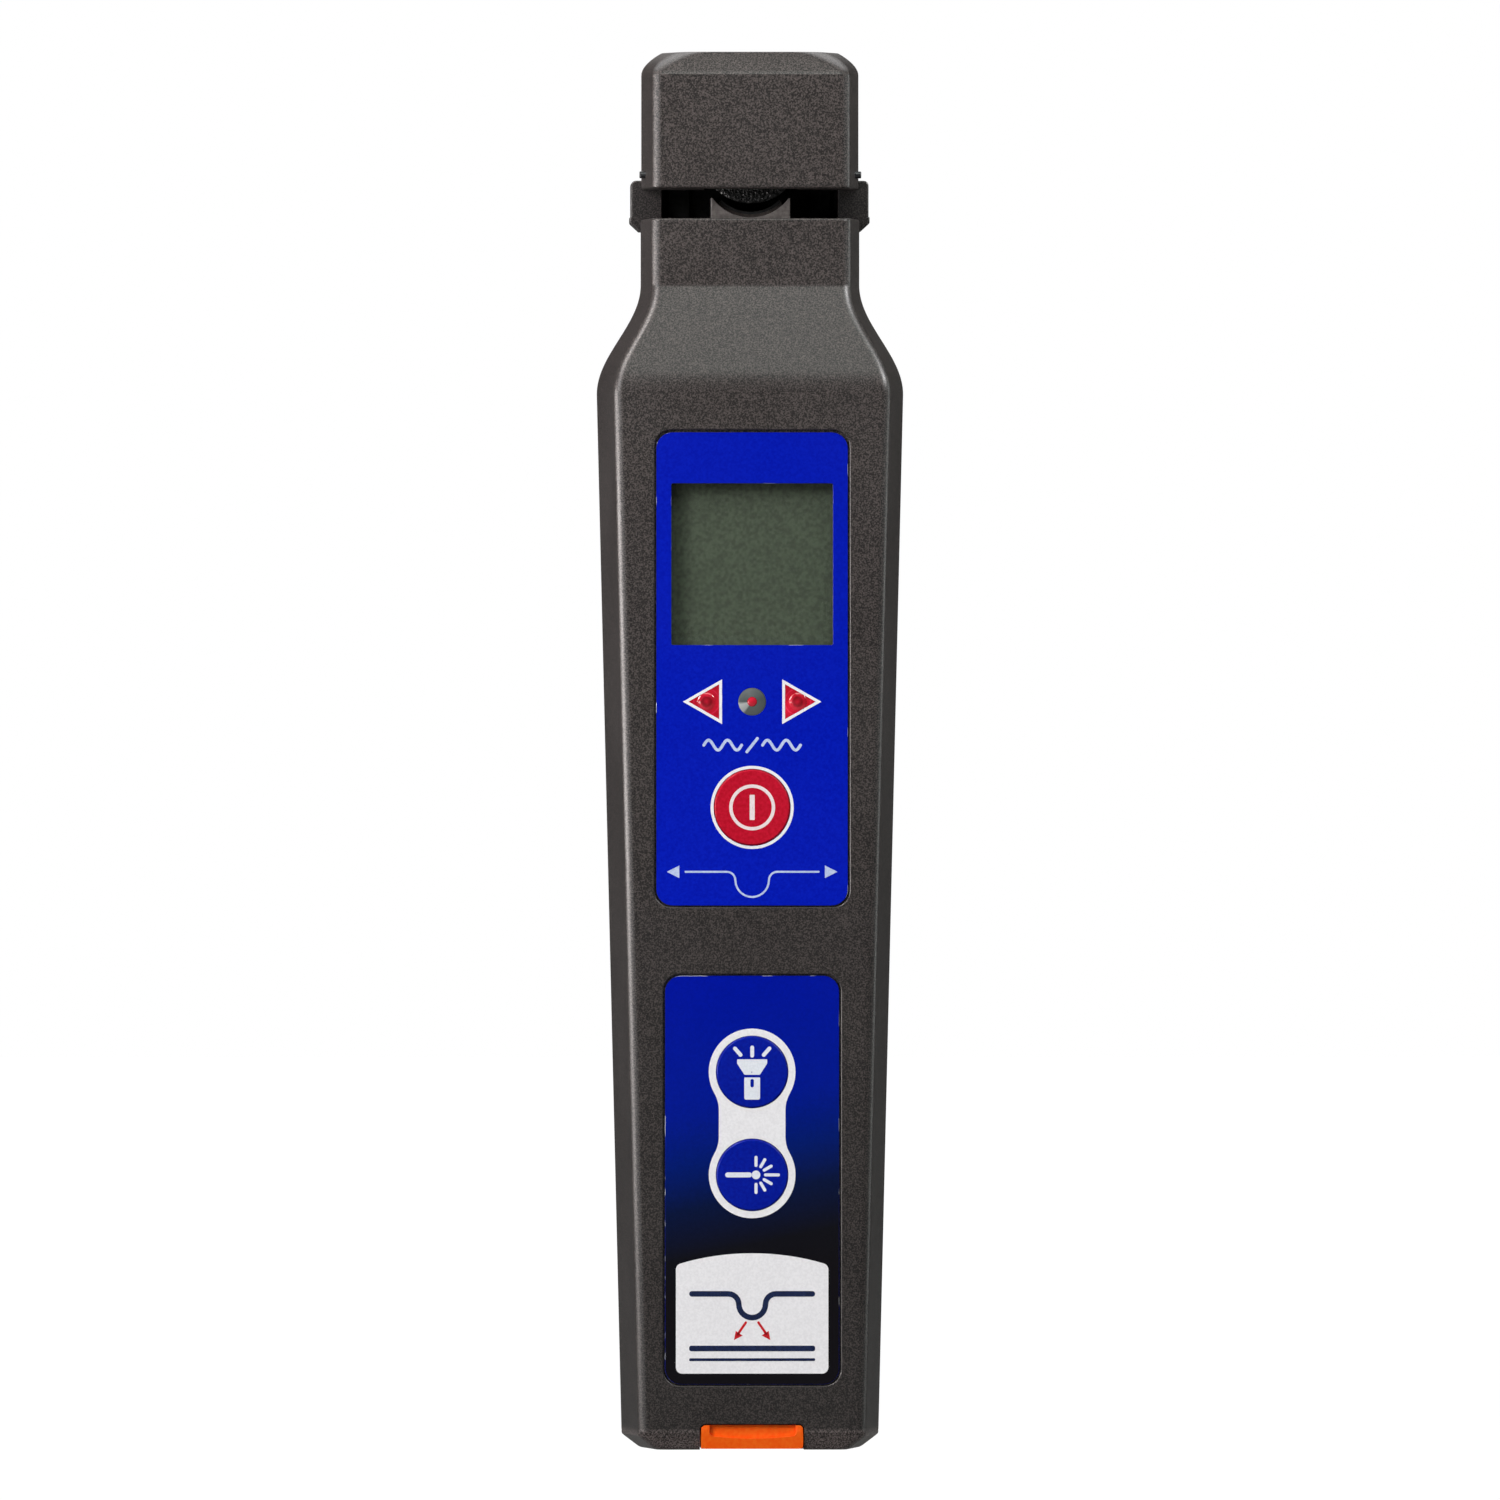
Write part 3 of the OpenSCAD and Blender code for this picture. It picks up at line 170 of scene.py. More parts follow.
def box2(u, v, r=0.0, steps=6):
    """Outline of a rectangle with round corners."""
    points = [(u[0], v[0]), (u[1], v[0]), (u[1], v[1]), (u[0], v[1])]
    return shape(rounded(points, r, steps))


def quarter(steps):
    """Angles from 0 to a right angle."""
    return [pi / 2 * i / steps for i in range(steps + 1)]


def roll(r, steps):
    """Rounded edge: how far it has come along an axis, and how far it is still drawn in."""
    return [(r * (1 - cos(a)), r * (1 - sin(a))) for a in quarter(steps)]


def ends(low, high, r_low=0.0, r_high=None, steps=4):
    """Stations of a slab whose two ends have rounded edges."""
    r_high = r_low if r_high is None else r_high
    first = [(low + rise, -inset) for rise, inset in roll(r_low, steps)]
    last = [(high - rise, -inset) for rise, inset in roll(r_high, steps)]
    return (first if r_low else [(low, 0)]) + (last[::-1] if r_high else [(high, 0)])


def rim(inner, face, r=0.2, out=1.0, steps=3):
    """Stations of a cutter that leaves a face with a rounded rim."""
    way = 1 if face > inner else -1
    curve = [(face - way * inset, rise) for rise, inset in roll(r, steps)]
    return [(inner, 0)] + curve + [(face + way * out, r)]


def slab(name, outline, axis, stations, loop=False):
    """Solid along an axis, from an outline that grows or shrinks from station to station."""
    return solid(name, [[place(axis, u, v, w) for u, v in outline(grow)] for w, grow in stations], loop)


def rod(axis, u, v, span, r, steps=32):
    """Round bar, used to build and cut other pieces."""
    return slab("bar", disc(u, v, r, steps), axis, [(span[0], 0), (span[1], 0)])


def rods(axis, spots, span, r):
    """Equal round bars at several places."""
    return [rod(axis, u, v, span, r) for u, v in spots]


def block(x, y, z, r=0.0):
    """Box with softened edges, used to build and cut other pieces."""
    return slab("block", box2(x, y, r, 3), "z", ends(*z, r))


def bake(made):
    """Applies every modifier of an object."""
    graph = bpy.context.evaluated_depsgraph_get()
    mesh = bpy.data.meshes.new_from_object(made.evaluated_get(graph))
    made.modifiers.clear()
    made.data = mesh
    return made


def combine(base, *steps):
    """Adds and cuts tools in turn. Each step is "+" or "-" with its list of tools, which are used up."""
    used = []
    for sign, tools in steps:
        for tool in tools:
            step = base.modifiers.new("step", "BOOLEAN")
            step.operation = "UNION" if sign == "+" else "DIFFERENCE"
            step.solver = "MANIFOLD"
            step.object = tool
            used.append(tool)
    bake(base)
    for tool in used:
        bpy.data.objects.remove(tool)
    return base


def gather(name, parts, shifts=((0, 0, 0),)):
    """One object from several, repeated at each shift. The parts are used up."""
    mesh = bmesh.new()
    for shift in shifts:
        for part in parts:
            before = len(mesh.verts)
            mesh.from_mesh(part.data)
            mesh.verts.ensure_lookup_table()
            bmesh.ops.translate(mesh, verts=mesh.verts[before:], vec=[c * MM for c in shift])
    for part in parts:
        bpy.data.objects.remove(part)
    return link(name, mesh)


def dress(made, slot, *nodes, body="housing", paint=(), sharp=26, regions=()):
    """Finishes a piece: its shading, materials and body, and hides the nodes it stands for. Its slot is not used.
    Each region is a test on a face's centre and normal, which gives it the next material."""
    data = made.data
    data.materials.clear()
    for material in paint:
        data.materials.append(material)
    for face in data.polygons:
        centre = face.center / MM
        face.material_index = 0
        for i, test in enumerate(regions):
            if test(centre, face.normal):
                face.material_index = i + 1
    data.shade_smooth()
    data.set_sharp_from_angle(angle=radians(sharp))
    weigh = made.modifiers.new("Weighted normals", "WEIGHTED_NORMAL")
    weigh.keep_sharp = True
    bake(made)
    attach(made, body)
    if nodes:
        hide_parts(*nodes)
    return made


# ---- Materials ----

def link_node(material, kind, inputs=None, **settings):
    """New node in a material or the world. Inputs are values or sockets to link."""
    made = material.node_tree.nodes.new("ShaderNode" + kind)
    for key, value in settings.items():
        setattr(made, key, value)
    for key, value in (inputs or {}).items():
        if isinstance(value, bpy.types.NodeSocket):
            material.node_tree.links.new(value, made.inputs[key])
        else:
            made.inputs[key].default_value = value
    return made


def start(name, shine=0.5, **constants):
    """Material with its constants set on the shader's own sockets. Its shine is the specular level."""
    material = bpy.data.materials.new(name)
    material.use_nodes = True
    shader = material.node_tree.nodes["Principled BSDF"]
    shader.inputs["Specular IOR Level"].default_value = shine
    for key, value in constants.items():
        shader.inputs[key.replace("_", " ")].default_value = value
    return material


def feed(material, name, socket):
    """Links a socket to the material's shader."""
    shader = material.node_tree.nodes["Principled BSDF"]
    material.node_tree.links.new(socket, shader.inputs[name])


def spot(material):
    """Place in the object's own space, in metres."""
    return link_node(material, "TexCoord").outputs["Object"]


def maths(material, operation, *values, kind="", out=0):
    """Arithmetic on numbers, or on vectors where the kind says so."""
    return link_node(material, kind + "Math", dict(enumerate(values)), operation=operation).outputs[out]


def grain(material, scale, detail=2.0, stretch=(1, 1, 1)):
    """Noise in the object's own space."""
    where = spot(material)
    if stretch != (1, 1, 1):
        where = link_node(material, "Mapping", {"Vector": where, "Scale": stretch}).outputs[0]
    made = link_node(material, "TexNoise", {"Vector": where, "Scale": scale, "Detail": detail})
    return made.outputs[0]


def height(material, axis="Z"):
    """One coordinate of the object's own space, in metres."""
    return link_node(material, "SeparateXYZ", {"Vector": spot(material)}).outputs[axis]


def ramp(material, factor, *stops):
    """Colour from a factor through stops of place and colour. A single number is a grey."""
    made = link_node(material, "ValToRGB", {"Fac": factor})
    points = made.color_ramp.elements
    while len(points) < len(stops):
        points.new(1.0)
    for point, (place_on, colour) in zip(points, stops):
        point.position = place_on
        point.color = (*colour, 1) if isinstance(colour, tuple) else (colour, colour, colour, 1)
    return made.outputs["Color"]


def product(material, a, b):
    """Product of two colours."""
    return link_node(material, "Mix", {0: 1.0, 6: a, 7: b}, data_type="RGBA",
                     blend_type="MULTIPLY").outputs[2]


def spread(material, factor, low, high, bottom=0.0, top=1.0):
    """Number spread from one range to another."""
    return link_node(material, "MapRange", {
        "Value": factor, "From Min": bottom, "From Max": top, "To Min": low, "To Max": high}).outputs[0]


def gloss(material, field, *spans):
    """Uneven gloss: roughness between two numbers by a field."""
    feed(material, "Roughness", spread(material, field, *spans))


def relief(material, field, strength, depth):
    """Bump from a field, its depth in millimetres."""
    made = link_node(material, "Bump", {
        "Height": field, "Strength": strength, "Distance": depth * MM})
    feed(material, "Normal", made.outputs[0])


def moulded(name, dark, light, scale=2600, rough=(0.4, 0.55), bump=0.3, depth=0.03,
            patches=0.08, stretch=(1, 1, 1), contrast=(0.36, 0.64), painted_light_tones=(), **constants):
    """Surface with fine grain between two colours, slow patches, uneven gloss and relief. Painted light and shade can
    run up its height.
    """
    material = start(name, **constants)
    fine = grain(material, scale, 2.5, stretch)
    slow = grain(material, 55, 3.0)
    colour = ramp(material, fine, (contrast[0], dark), (contrast[1], light))
    tone = ramp(material, slow, (0.3, 1 - patches), (0.7, 1 + patches))
    if painted_light_tones:  # the painted light passes the ramp at a third, and is brought back after it
        rise = ramp(material, spread(material, height(material), 0, 1, 0, HEAD_TOP * MM),
                    *((z / HEAD_TOP, level / 3) for z, level in painted_light_tones))
        tone = product(material, product(material, tone, rise), (3, 3, 3, 1))
    feed(material, "Base Color", product(material, colour, tone))
    gloss(material, slow, *rough, 0.35, 0.65)
    relief(material, fine, bump, depth)
    return material


def metal(name, dark, light, scale, rough, bump=0.1, stretch=(1, 1, 1), metallic=1.0):
    """Metal with fine grain, brushed where the grain is stretched."""
    return moulded(name, dark, light, scale, rough, bump, 0.01, 0.1, stretch, Metallic=metallic)


def print_ink(name, dark, light, patches=0.05, shine=0.2, scale=3000, bump=0.05):
    """Even printed colour."""
    return moulded(name, dark, light, scale, (0.4, 0.5), bump, 0.01, patches, shine=shine)


# A flat face that lies in a plane of the noise's lattice loses its grain, so the door has a scale of its own
# The shell's colour carries painted light and shade: the bevel band round the bottom is painted much lighter, as if lit
# from the floor, and the rest is painted darker low down and lighter toward the top, as if lit from above.
SHELL, DOOR_SHELL = (
    moulded(name, (0.0095, 0.0077, 0.0073), (0.086, 0.069, 0.066), scale, (0.38, 0.44), 0.36, 0.03, 0.04,
            contrast=(0.41, 0.67), painted_light_tones=((0, 2.5), (2.45, 2.5), (2.7, 0.62), (66, 0.8), (133, 1.06), (200, 1.32)),
            shine=0.36)
    for name, scale in (("Shell plastic", 4890), ("Door plastic", 4790)))
# The ears get a darker copy of the shell plastic: painted shade, where the head shades them from the lamps.
EAR_SHELL_SHADED = moulded("Ear plastic painted shade", (0.0068, 0.0056, 0.0054), (0.068, 0.0565, 0.0545), 4890, (0.4, 0.46),
    0.36, 0.03, 0.04, contrast=(0.41, 0.67), shine=0.36)
# The inside of the slot is painted near black: a black lining, and painted shade where the slot lies deep in shadow.
SLOT_BLACK_AND_SHADE = moulded("Slot black and painted shade", 0.0015, 0.004, 1500, (0.7, 0.8), 0.2, 0.03, shine=0.05)
BLACK = moulded("Black plastic", (0.01, 0.01, 0.011), (0.022, 0.022, 0.023), 2000, (0.35, 0.5), 0.25, 0.03, shine=0.4)
STEEL = metal("Bright steel", (0.42, 0.43, 0.44), (0.62, 0.62, 0.63), 900, (0.22, 0.38), 0.15, (1, 12, 1))
DARK_STEEL = metal("Blackened steel", (0.03, 0.03, 0.032), (0.07, 0.07, 0.074), 1400, (0.35, 0.5), 0.15, metallic=0.9)
SPRING_STEEL = metal("Spring steel", (0.35, 0.36, 0.38), (0.55, 0.56, 0.58), 1800, (0.2, 0.32))
LASER_CASE = metal("Laser case", (0.34, 0.35, 0.37), (0.5, 0.51, 0.53), 1000, (0.26, 0.4), 0.15, (1, 1, 0.08))
WHITE_PRINT = print_ink("White print", (0.82, 0.79, 0.82), (0.89, 0.86, 0.89), 0.02, 0.1, 3200, 0.06)
PINK_PRINT = print_ink("Pink print", (0.8, 0.66, 0.68), (0.87, 0.73, 0.75), 0.03, 0.1)
NAVY_PRINT = print_ink("Navy print", (0.004, 0.01, 0.045), (0.008, 0.018, 0.075))
RED_PRINT = print_ink("Red print", (0.52, 0.006, 0.012), (0.64, 0.01, 0.02))
PALE_PRINT = print_ink("Pale print", (0.42, 0.5, 0.74), (0.55, 0.62, 0.84))
SYMBOL_PRINT = print_ink("Symbol print", (0.74, 0.75, 0.82), (0.81, 0.82, 0.89), 0.03, 0.1)
RED_KEY = moulded("Red key", (0.45, 0.003, 0.018), (0.55, 0.006, 0.028), 2200, (0.3, 0.4), 0.08, 0.02, 0.06, shine=0.1)
BLUE_KEY = moulded("Blue key", (0.0, 0.007, 0.28), (0.0, 0.011, 0.35), 2200, (0.3, 0.4), 0.08, 0.02, 0.06, shine=0.1)
ORANGE = moulded("Orange plastic", (0.98, 0.1, 0.002), (1.0, 0.14, 0.006), 1900, (0.4, 0.52),
    0.2, 0.03, 0.02, shine=0.12)
BOARD = moulded("Circuit board", (0.006, 0.06, 0.022), (0.015, 0.1, 0.042), 700, (0.25, 0.4), 0.2, 0.02, 0.12)
CHIP = moulded("Chip case", (0.01, 0.01, 0.011), (0.02, 0.02, 0.021), 1600, (0.5, 0.62), 0.2, 0.02)
CERAMIC = moulded("Ceramic sleeve", (0.7, 0.69, 0.66), (0.82, 0.81, 0.78), 1200, (0.16, 0.24), 0.05, 0.01, 0.03)
CELL_WRAP = moulded("Cell wrap", (0.02, 0.022, 0.026), (0.034, 0.038, 0.044), 900, (0.22, 0.34),
    0.1, 0.02, 0.1, Coat_Weight=0.4, Coat_Roughness=0.12)
CELL_BAND = moulded("Cell band", (0.34, 0.36, 0.38), (0.44, 0.46, 0.48), 900, (0.25, 0.35),
    0.1, 0.02, 0.1, Metallic=0.7, Coat_Weight=0.4, Coat_Roughness=0.12)
ADAPTER = moulded("Adapter plastic", (0.11, 0.096, 0.09), (0.18, 0.158, 0.15), 1700, (0.4, 0.5),
    0.2, 0.03, 0.08, shine=0.4)
# The step in the adapter's groove is painted dark brown: painted shade, where the step lies in shadow.
SADDLE_SHADE = moulded("Adapter groove painted shade", (0.022, 0.017, 0.015), (0.045, 0.036, 0.032), 1700, (0.5, 0.6),
    0.2, 0.03, 0.08, shine=0.3)
RUBBER = moulded("Black rubber", 0.006, 0.014, 1500, (0.5, 0.65), 0.2, 0.03, shine=0.3)


def film(name):
    """Printed blue film under a finely frosted face, with the grain that its ink follows."""
    material = start(name, shine=0.05)
    fine = grain(material, 2800)
    gloss(material, grain(material, 40), 0.3, 0.42, 0.35, 0.65)
    relief(material, fine, 0.06, 0.02)
    return material, fine


DISPLAY_FILM, fine = film("Display film")
ink = ramp(DISPLAY_FILM, fine, (0.3, (0.0, 0.007, 0.385)), (0.7, (0.001, 0.0115, 0.465)))
# The blue is a little lighter at the bottom and darker toward the top.
darker_upward = ramp(DISPLAY_FILM, spread(DISPLAY_FILM, height(DISPLAY_FILM), 0, 1, 0.078, 0.145), (0.0, 1.04), (1.0, 0.94))
feed(DISPLAY_FILM, "Base Color", product(DISPLAY_FILM, ink, darker_upward))

KEYPAD_FILM, fine = film("Keypad film")
lean = maths(KEYPAD_FILM, "MULTIPLY_ADD", height(KEYPAD_FILM, "X"), -0.22, height(KEYPAD_FILM))
ink = ramp(KEYPAD_FILM, spread(KEYPAD_FILM, lean, 0, 1, 0.024, 0.068),
           (0.0, (0.0065, 0.0055, 0.0075)), (0.12, (0.006, 0.006, 0.0095)), (0.28, (0.0028, 0.008, 0.045)),
           (0.42, (0.0005, 0.0105, 0.15)), (0.6, (0.0, 0.009, 0.275)), (1.0, (0.0, 0.007, 0.335)))
speck = ramp(KEYPAD_FILM, fine, (0.3, 0.92), (0.7, 1.08))
feed(KEYPAD_FILM, "Base Color", product(KEYPAD_FILM, ink, speck))

# Cut edge of a film, with white chips where the ink has chipped off, and painted glints where the cut edge catches
# light
FILM_EDGE = start("Film edge", shine=0.3, Roughness=0.3)
nicks_and_glints = grain(FILM_EDGE, 210, 3.0)
feed(FILM_EDGE, "Base Color", ramp(FILM_EDGE, nicks_and_glints, (0.6, (0.0, 0.008, 0.25)), (0.63, (0.8, 0.82, 0.9))))
relief(FILM_EDGE, nicks_and_glints, 0.2, 0.02)

WINDOW_CLEAR = start("Clear window", Base_Color=(0.16, 0.18, 0.14, 1), Alpha=0.1, IOR=1.46,
                     shine=0.4)
gloss(WINDOW_CLEAR, grain(WINDOW_CLEAR, 60), 0.06, 0.14)

LCD = start("Display glass", shine=0.25)
mottle, streak = grain(LCD, 1900, 3.0), grain(LCD, 34)
green = ramp(LCD, mottle, (0.36, (0.04, 0.053, 0.034)), (0.64, (0.071, 0.092, 0.06)))
broad = ramp(LCD, streak, (0.3, (0.88, 0.9, 0.88)), (0.7, (1.12, 1.1, 1.12)))
feed(LCD, "Base Color", product(LCD, green, broad))
gloss(LCD, mottle, 0.28, 0.4)
relief(LCD, mottle, 0.04, 0.01)

# The red lens has rings on either side: a darker ring round the light behind it, and a pale ring on its dome, a painted
# highlight
RED_LENS = start("Red lens", shine=0.6, Coat_Weight=0.5, Coat_Roughness=0.08)
cloud = grain(RED_LENS, 500, 3.0)
flank = maths(RED_LENS, "ABSOLUTE", spot(RED_LENS), kind="Vector")
flank = maths(RED_LENS, "MULTIPLY", flank, (1, 0, 1), kind="Vector")
away = maths(RED_LENS, "DISTANCE", flank, ((LIGHTS_X - 0.6) * MM, 0, LIGHTS_Z * MM), kind="Vector", out="Value")
ring = ramp(RED_LENS, spread(RED_LENS, away, 0, 1, 0, LIGHT_R * MM), (0.0, 0.9), (0.28, (0.45, 0.3, 0.4)),
            (0.36, (0.55, 0.4, 0.5)), (0.45, 1.0), (0.86, 1.0), (0.92, (1.2, 3.0, 2.4)), (1.0, 0.95))
glow = ramp(RED_LENS, cloud, (0.35, (0.5, 0.004, 0.02)), (0.65, (0.8, 0.012, 0.045)))
feed(RED_LENS, "Base Color", product(RED_LENS, glow, ring))
gloss(RED_LENS, cloud, 0.1, 0.3)
relief(RED_LENS, cloud, 0.35, 0.06)

# The grey lens of the middle light changes its tone with the direction from its centre; its bright wedge at the left is
# a painted highlight
GREY_LENS = start("Grey lens", shine=0.5)
flat = link_node(GREY_LENS, "Mapping", {
    "Vector": spot(GREY_LENS), "Location": (0, -LIGHTS_Z * MM, 0), "Rotation": (-pi / 2, 0, 0)}).outputs[0]
around = link_node(GREY_LENS, "TexGradient", {"Vector": flat}, gradient_type="RADIAL").outputs[1]
feed(GREY_LENS, "Base Color", ramp(
    GREY_LENS, around, (0.0, (0.11, 0.12, 0.12)), (0.04, 0.46), (0.13, (0.32, 0.33, 0.33)), (0.16, (0.09, 0.1, 0.1)),
    (0.55, (0.07, 0.08, 0.08)), (0.8, (0.16, 0.17, 0.17)), (1.0, (0.1, 0.11, 0.11))))
gloss(GREY_LENS, grain(GREY_LENS, 700), 0.12, 0.3)

TORCH_LENS = start("Torch lens", Base_Color=(0.86, 0.9, 0.94, 1), Transmission_Weight=0.85, IOR=1.49)
gloss(TORCH_LENS, grain(TORCH_LENS, 500), 0.04, 0.16)
TORCH_LIGHT = moulded("Torch light", (0.62, 0.62, 0.56), (0.84, 0.84, 0.76), 600, (0.14, 0.26), 0.1, 0.02)

FOAM = start("Sponge", shine=0.25)
cells = link_node(FOAM, "TexVoronoi", {"Vector": spot(FOAM), "Scale": 2600.0}).outputs["Distance"]
feed(FOAM, "Base Color", ramp(FOAM, cells, (0.06, (0.012, 0.013, 0.014)), (0.4, 0.001)))
gloss(FOAM, grain(FOAM, 3000), 0.25, 0.9, 0.35, 0.65)
relief(FOAM, cells, 1.0, 0.25)

nodes = frame["nodes"]


def paint_nodes(material, *names):
    """Gives carried-over nodes their material."""
    for name in names:
        nodes[name].data.materials[0] = material


# ---- Body ----

def along(z, low, length):
    """How far a height has come along a stretch, from 0 to 1."""
    return min(1.0, max(0.0, (z - low) / length))


def ease(t):
    """Soft curve from 0 to 1."""
    return (1 - cos(pi * t)) / 2


def half_w(z):
    """Half the width of the body at the seam."""
    shoulder = ease(along(z, BODY_H, SHOULDER_H))
    return (BODY_BOTTOM_HALF + (BODY_TOP_HALF - BODY_BOTTOM_HALF) * along(z, 0, BODY_H)
            - (BODY_TOP_HALF - NECK_HALF) * shoulder - BEVEL_SIDE * (1 - along(z, 0, BEVEL_SIDE_H)))


def bend(t):
    """Short bend, then a straight slope."""
    return t * t / SLOPE_BEND / 2 if t < SLOPE_BEND else t - SLOPE_BEND / 2


def face_at(z, side):
    """Distance of the front or back face from the seam."""
    if side == FRONT:
        back = (FACE - NECK[FRONT]) * bend(along(z, BODY_H, SHOULDER_H)) / bend(1)
    else:
        back = (FACE - NECK[REAR]) * ease(along(z, SCOOP_Z, SCOOP_H))
    return FACE - back - BEVEL_FACE * (1 - along(z, 0, BEVEL_H))


def half_ring(z, half, seam, face, lean, r, chamfer=0.0, steps=8):
    """Level of a half shell: up one side from the seam, round both long edges and down the other side."""
    side = 1 if face > seam else -1
    tilt = atan2(lean, abs(face - seam) - r)
    points = [(half - chamfer, seam), (half - chamfer * tan(tilt), seam + side * chamfer)]
    for a in quarter(steps):
        turn = tilt + a * (1 - 2 * tilt / pi)
        points.append((half - lean - r + r * cos(turn), face - side * r * (1 - sin(turn))))
    return [(x, y, z) for x, y in points] + [(-x, y, z) for x, y in reversed(points)]


def body_ring(z, side, shrink):
    """Level of one half of the body's outside, drawn in a little at its rolled ends."""
    half, face = half_w(z) - shrink, face_at(z, side) - shrink
    return half_ring(z, half, 0, side * face, DRAFT * face / FACE, EDGE_R, SEAM_BEVEL)


def body_half(name, side):
    """One half of the body with its rolled ends, hollowed out."""
    stretch = [SCOOP_Z + SCOOP_H * i / 24 for i in range(25)] if side == REAR else []
    stretch += [BODY_H + SHOULDER_H * i / 32 for i in range(33)]
    levels = roll(0.3, 3) + [(BEVEL_SIDE_H - 0.3, 0), (BEVEL_SIDE_H, 0.06), (BEVEL_SIDE_H + 0.3, 0)]
    levels += [(BEVEL_H, 0.03), (BEVEL_H + 0.2, 0)] + [(z, 0) for z in stretch]
    levels += [(NECK_TOP - rise, inset) for rise, inset in reversed(roll(0.35, 4))]
    outer = solid(name, [body_ring(z, side, shrink) for z, shrink in levels])
    inner = []
    for z in [FLOOR, BEVEL_H] + stretch + [NECK_TOP - WALL]:
        face = face_at(z, side)
        inner.append(half_ring(z, half_w(z) - WALL, -side, side * (face - WALL), DRAFT * face / FACE, INNER_R, 0, 4))
    return outer, solid("hollow", inner)


def counterbore(x, z, seat, face, out=1.0):
    """Cutter of the recess for a screw's head in the back."""
    return slab("cut", disc(x, z, 1.95, 40), "y", rim(seat, face, 0.18, out))


def shell(name, node, half, side, bosses, cuts, paint=(), regions=()):
    """Half shell from its hollow form, with its bosses and cuts."""
    case, hollow = half(name, side)
    combine(case, ("-", [hollow]), ("+", bosses), ("-", cuts))
    return dress(case, "shell", node, paint=[SHELL, *paint], regions=regions)


SHELL_SCREWS = [(s * (half_w(z) - 5.8), z) for z in (6.5, 70.1, 127.0) for s in SIDES]
SHELL_BOSS = 2.2

bosses = rods("y", SHELL_SCREWS, (-14, 0), SHELL_BOSS) + rods("y", BOARD_SCREWS, (-14, -10.6), 1.7)
bosses += [block((-9.45, 9.45), (-13, 0), (0.3, 5.45)), rod("z", *PORT, (3.45, 11.7), 3.5)]
cuts = rods("y", SHELL_SCREWS, (-6, 1), BORE) + rods("y", BOARD_SCREWS, (-13, -9.6), SMALL_BORE)
cuts += [slab("cut", box2(*pocket, 2.35), "y", rim(-POCKET, -FACE, 0.22)) for pocket in (DISPLAY_POCKET, KEYPAD_POCKET)]
cuts += [slab("cut", box2(*WINDOW, 0.3), "y", [(-16, 0), (-11, 0)]), rod("y", 0, LIGHTS_Z, (-15, -11), LIGHT_R)]
cuts += [rod("y", 0, z, (-15, -11), r + KEY_GAP, 64) for z, r in KEYS]
cuts += [slab("cut", box2((-7.45, 7.45), (-2, 3.65), 0.75), "y", rim(1, -FACE, 0.15)),
         rod("z", *PORT, (-1, 12.7), 2.55, 48),
         slab("cut", box2((-5.9, 5.9), (-5.25, 3), 0.4), "z", rim(172, NECK_TOP, 0.25))]
cuts += rods("y", [(s * LIGHTS_X, LIGHTS_Z) for s in SIDES], (-15, -11), 1.65)
shell("front_case", "front_shell", body_half, FRONT, bosses, cuts)

bosses = [rod("y", x, z, (0, face_at(z, REAR) - 1), SHELL_BOSS) for x, z in SHELL_SCREWS]
bosses += [block((-9.45, 9.45), (0, 5.3), (0.3, 5.45)), rod("z", *TORCH, (1.1, 6.8), 3.35),
           block((-11.85, 11.85), (1.6, 14), (11.45, 61.25))] + rods("y", BRACKET_SCREWS, (5, 9), 2.0)
cuts = [block((-10.95, 10.95), (2.5, 16), (12.35, 60.35)),
        slab("cut", box2((-12.3, 12.3), (9.85, 61.65), 1.25), "y", rim(13.6, FACE, 0.2)),
        block((-12.3, 12.3), (12.45, 16), (8.5, 11.2)), rod("x", *DOOR_HINGE, (-13.4, 13.4), 0.65)]
for x, z in SHELL_SCREWS:
    face = face_at(z, REAR)
    cuts += [rod("y", x, z, (-1, 13), BORE), counterbore(x, z, face - 3, face, 2)]
cuts += [
    solid("cut", [[(x, -1, -1), (x, 4.3, -1), (x, 4.3, 0), (x, 3.3, 1.4), (x, 3.3, 3.45), (x, -1, 3.45)]
                  for x in (-7.45, 7.45)]),
    rod("x", *FLAP_HINGE, (-10.4, 10.4), PIN_BORE),
    slab("cut", disc(*TORCH, 2.95), "z", rim(1.5, 0, 0.2)),
    rod("z", *TORCH, (0, 9), 2.55, 48),
    slab("cut", box2((-5.9, 5.9), (-3, 3.25), 0.4), "z", rim(172, NECK_TOP, 0.25)),
    slab("cut", box2((-5.75, 5.75), (151.7, 166.3), 0.5), "y", rim(7, NECK[REAR], 0.25)),
]
for s, low, high in zip(SIDES, BRACKET_SCREWS, HEAD_SCREWS):
    cuts += [rod("y", *low, (4, 8.5), SMALL_BORE), rod("y", *high, (0, 11), BORE), counterbore(*high, 8.6, NECK[REAR]),
             block(sorted((s * 8.45, s * 11.75)), (2.85, 8.05), (172, 178)),
             block(sorted((s * 15.05, s * 31)), (0.85, 11), (174.25, 178))]
shell("rear_case", "rear_shell", body_half, REAR, bosses, cuts, paint=[BLACK],
      regions=[lambda c, n: abs(c.x) < 11 and 12.3 < c.z < 60.4 and 2.4 < c.y < 13.5])


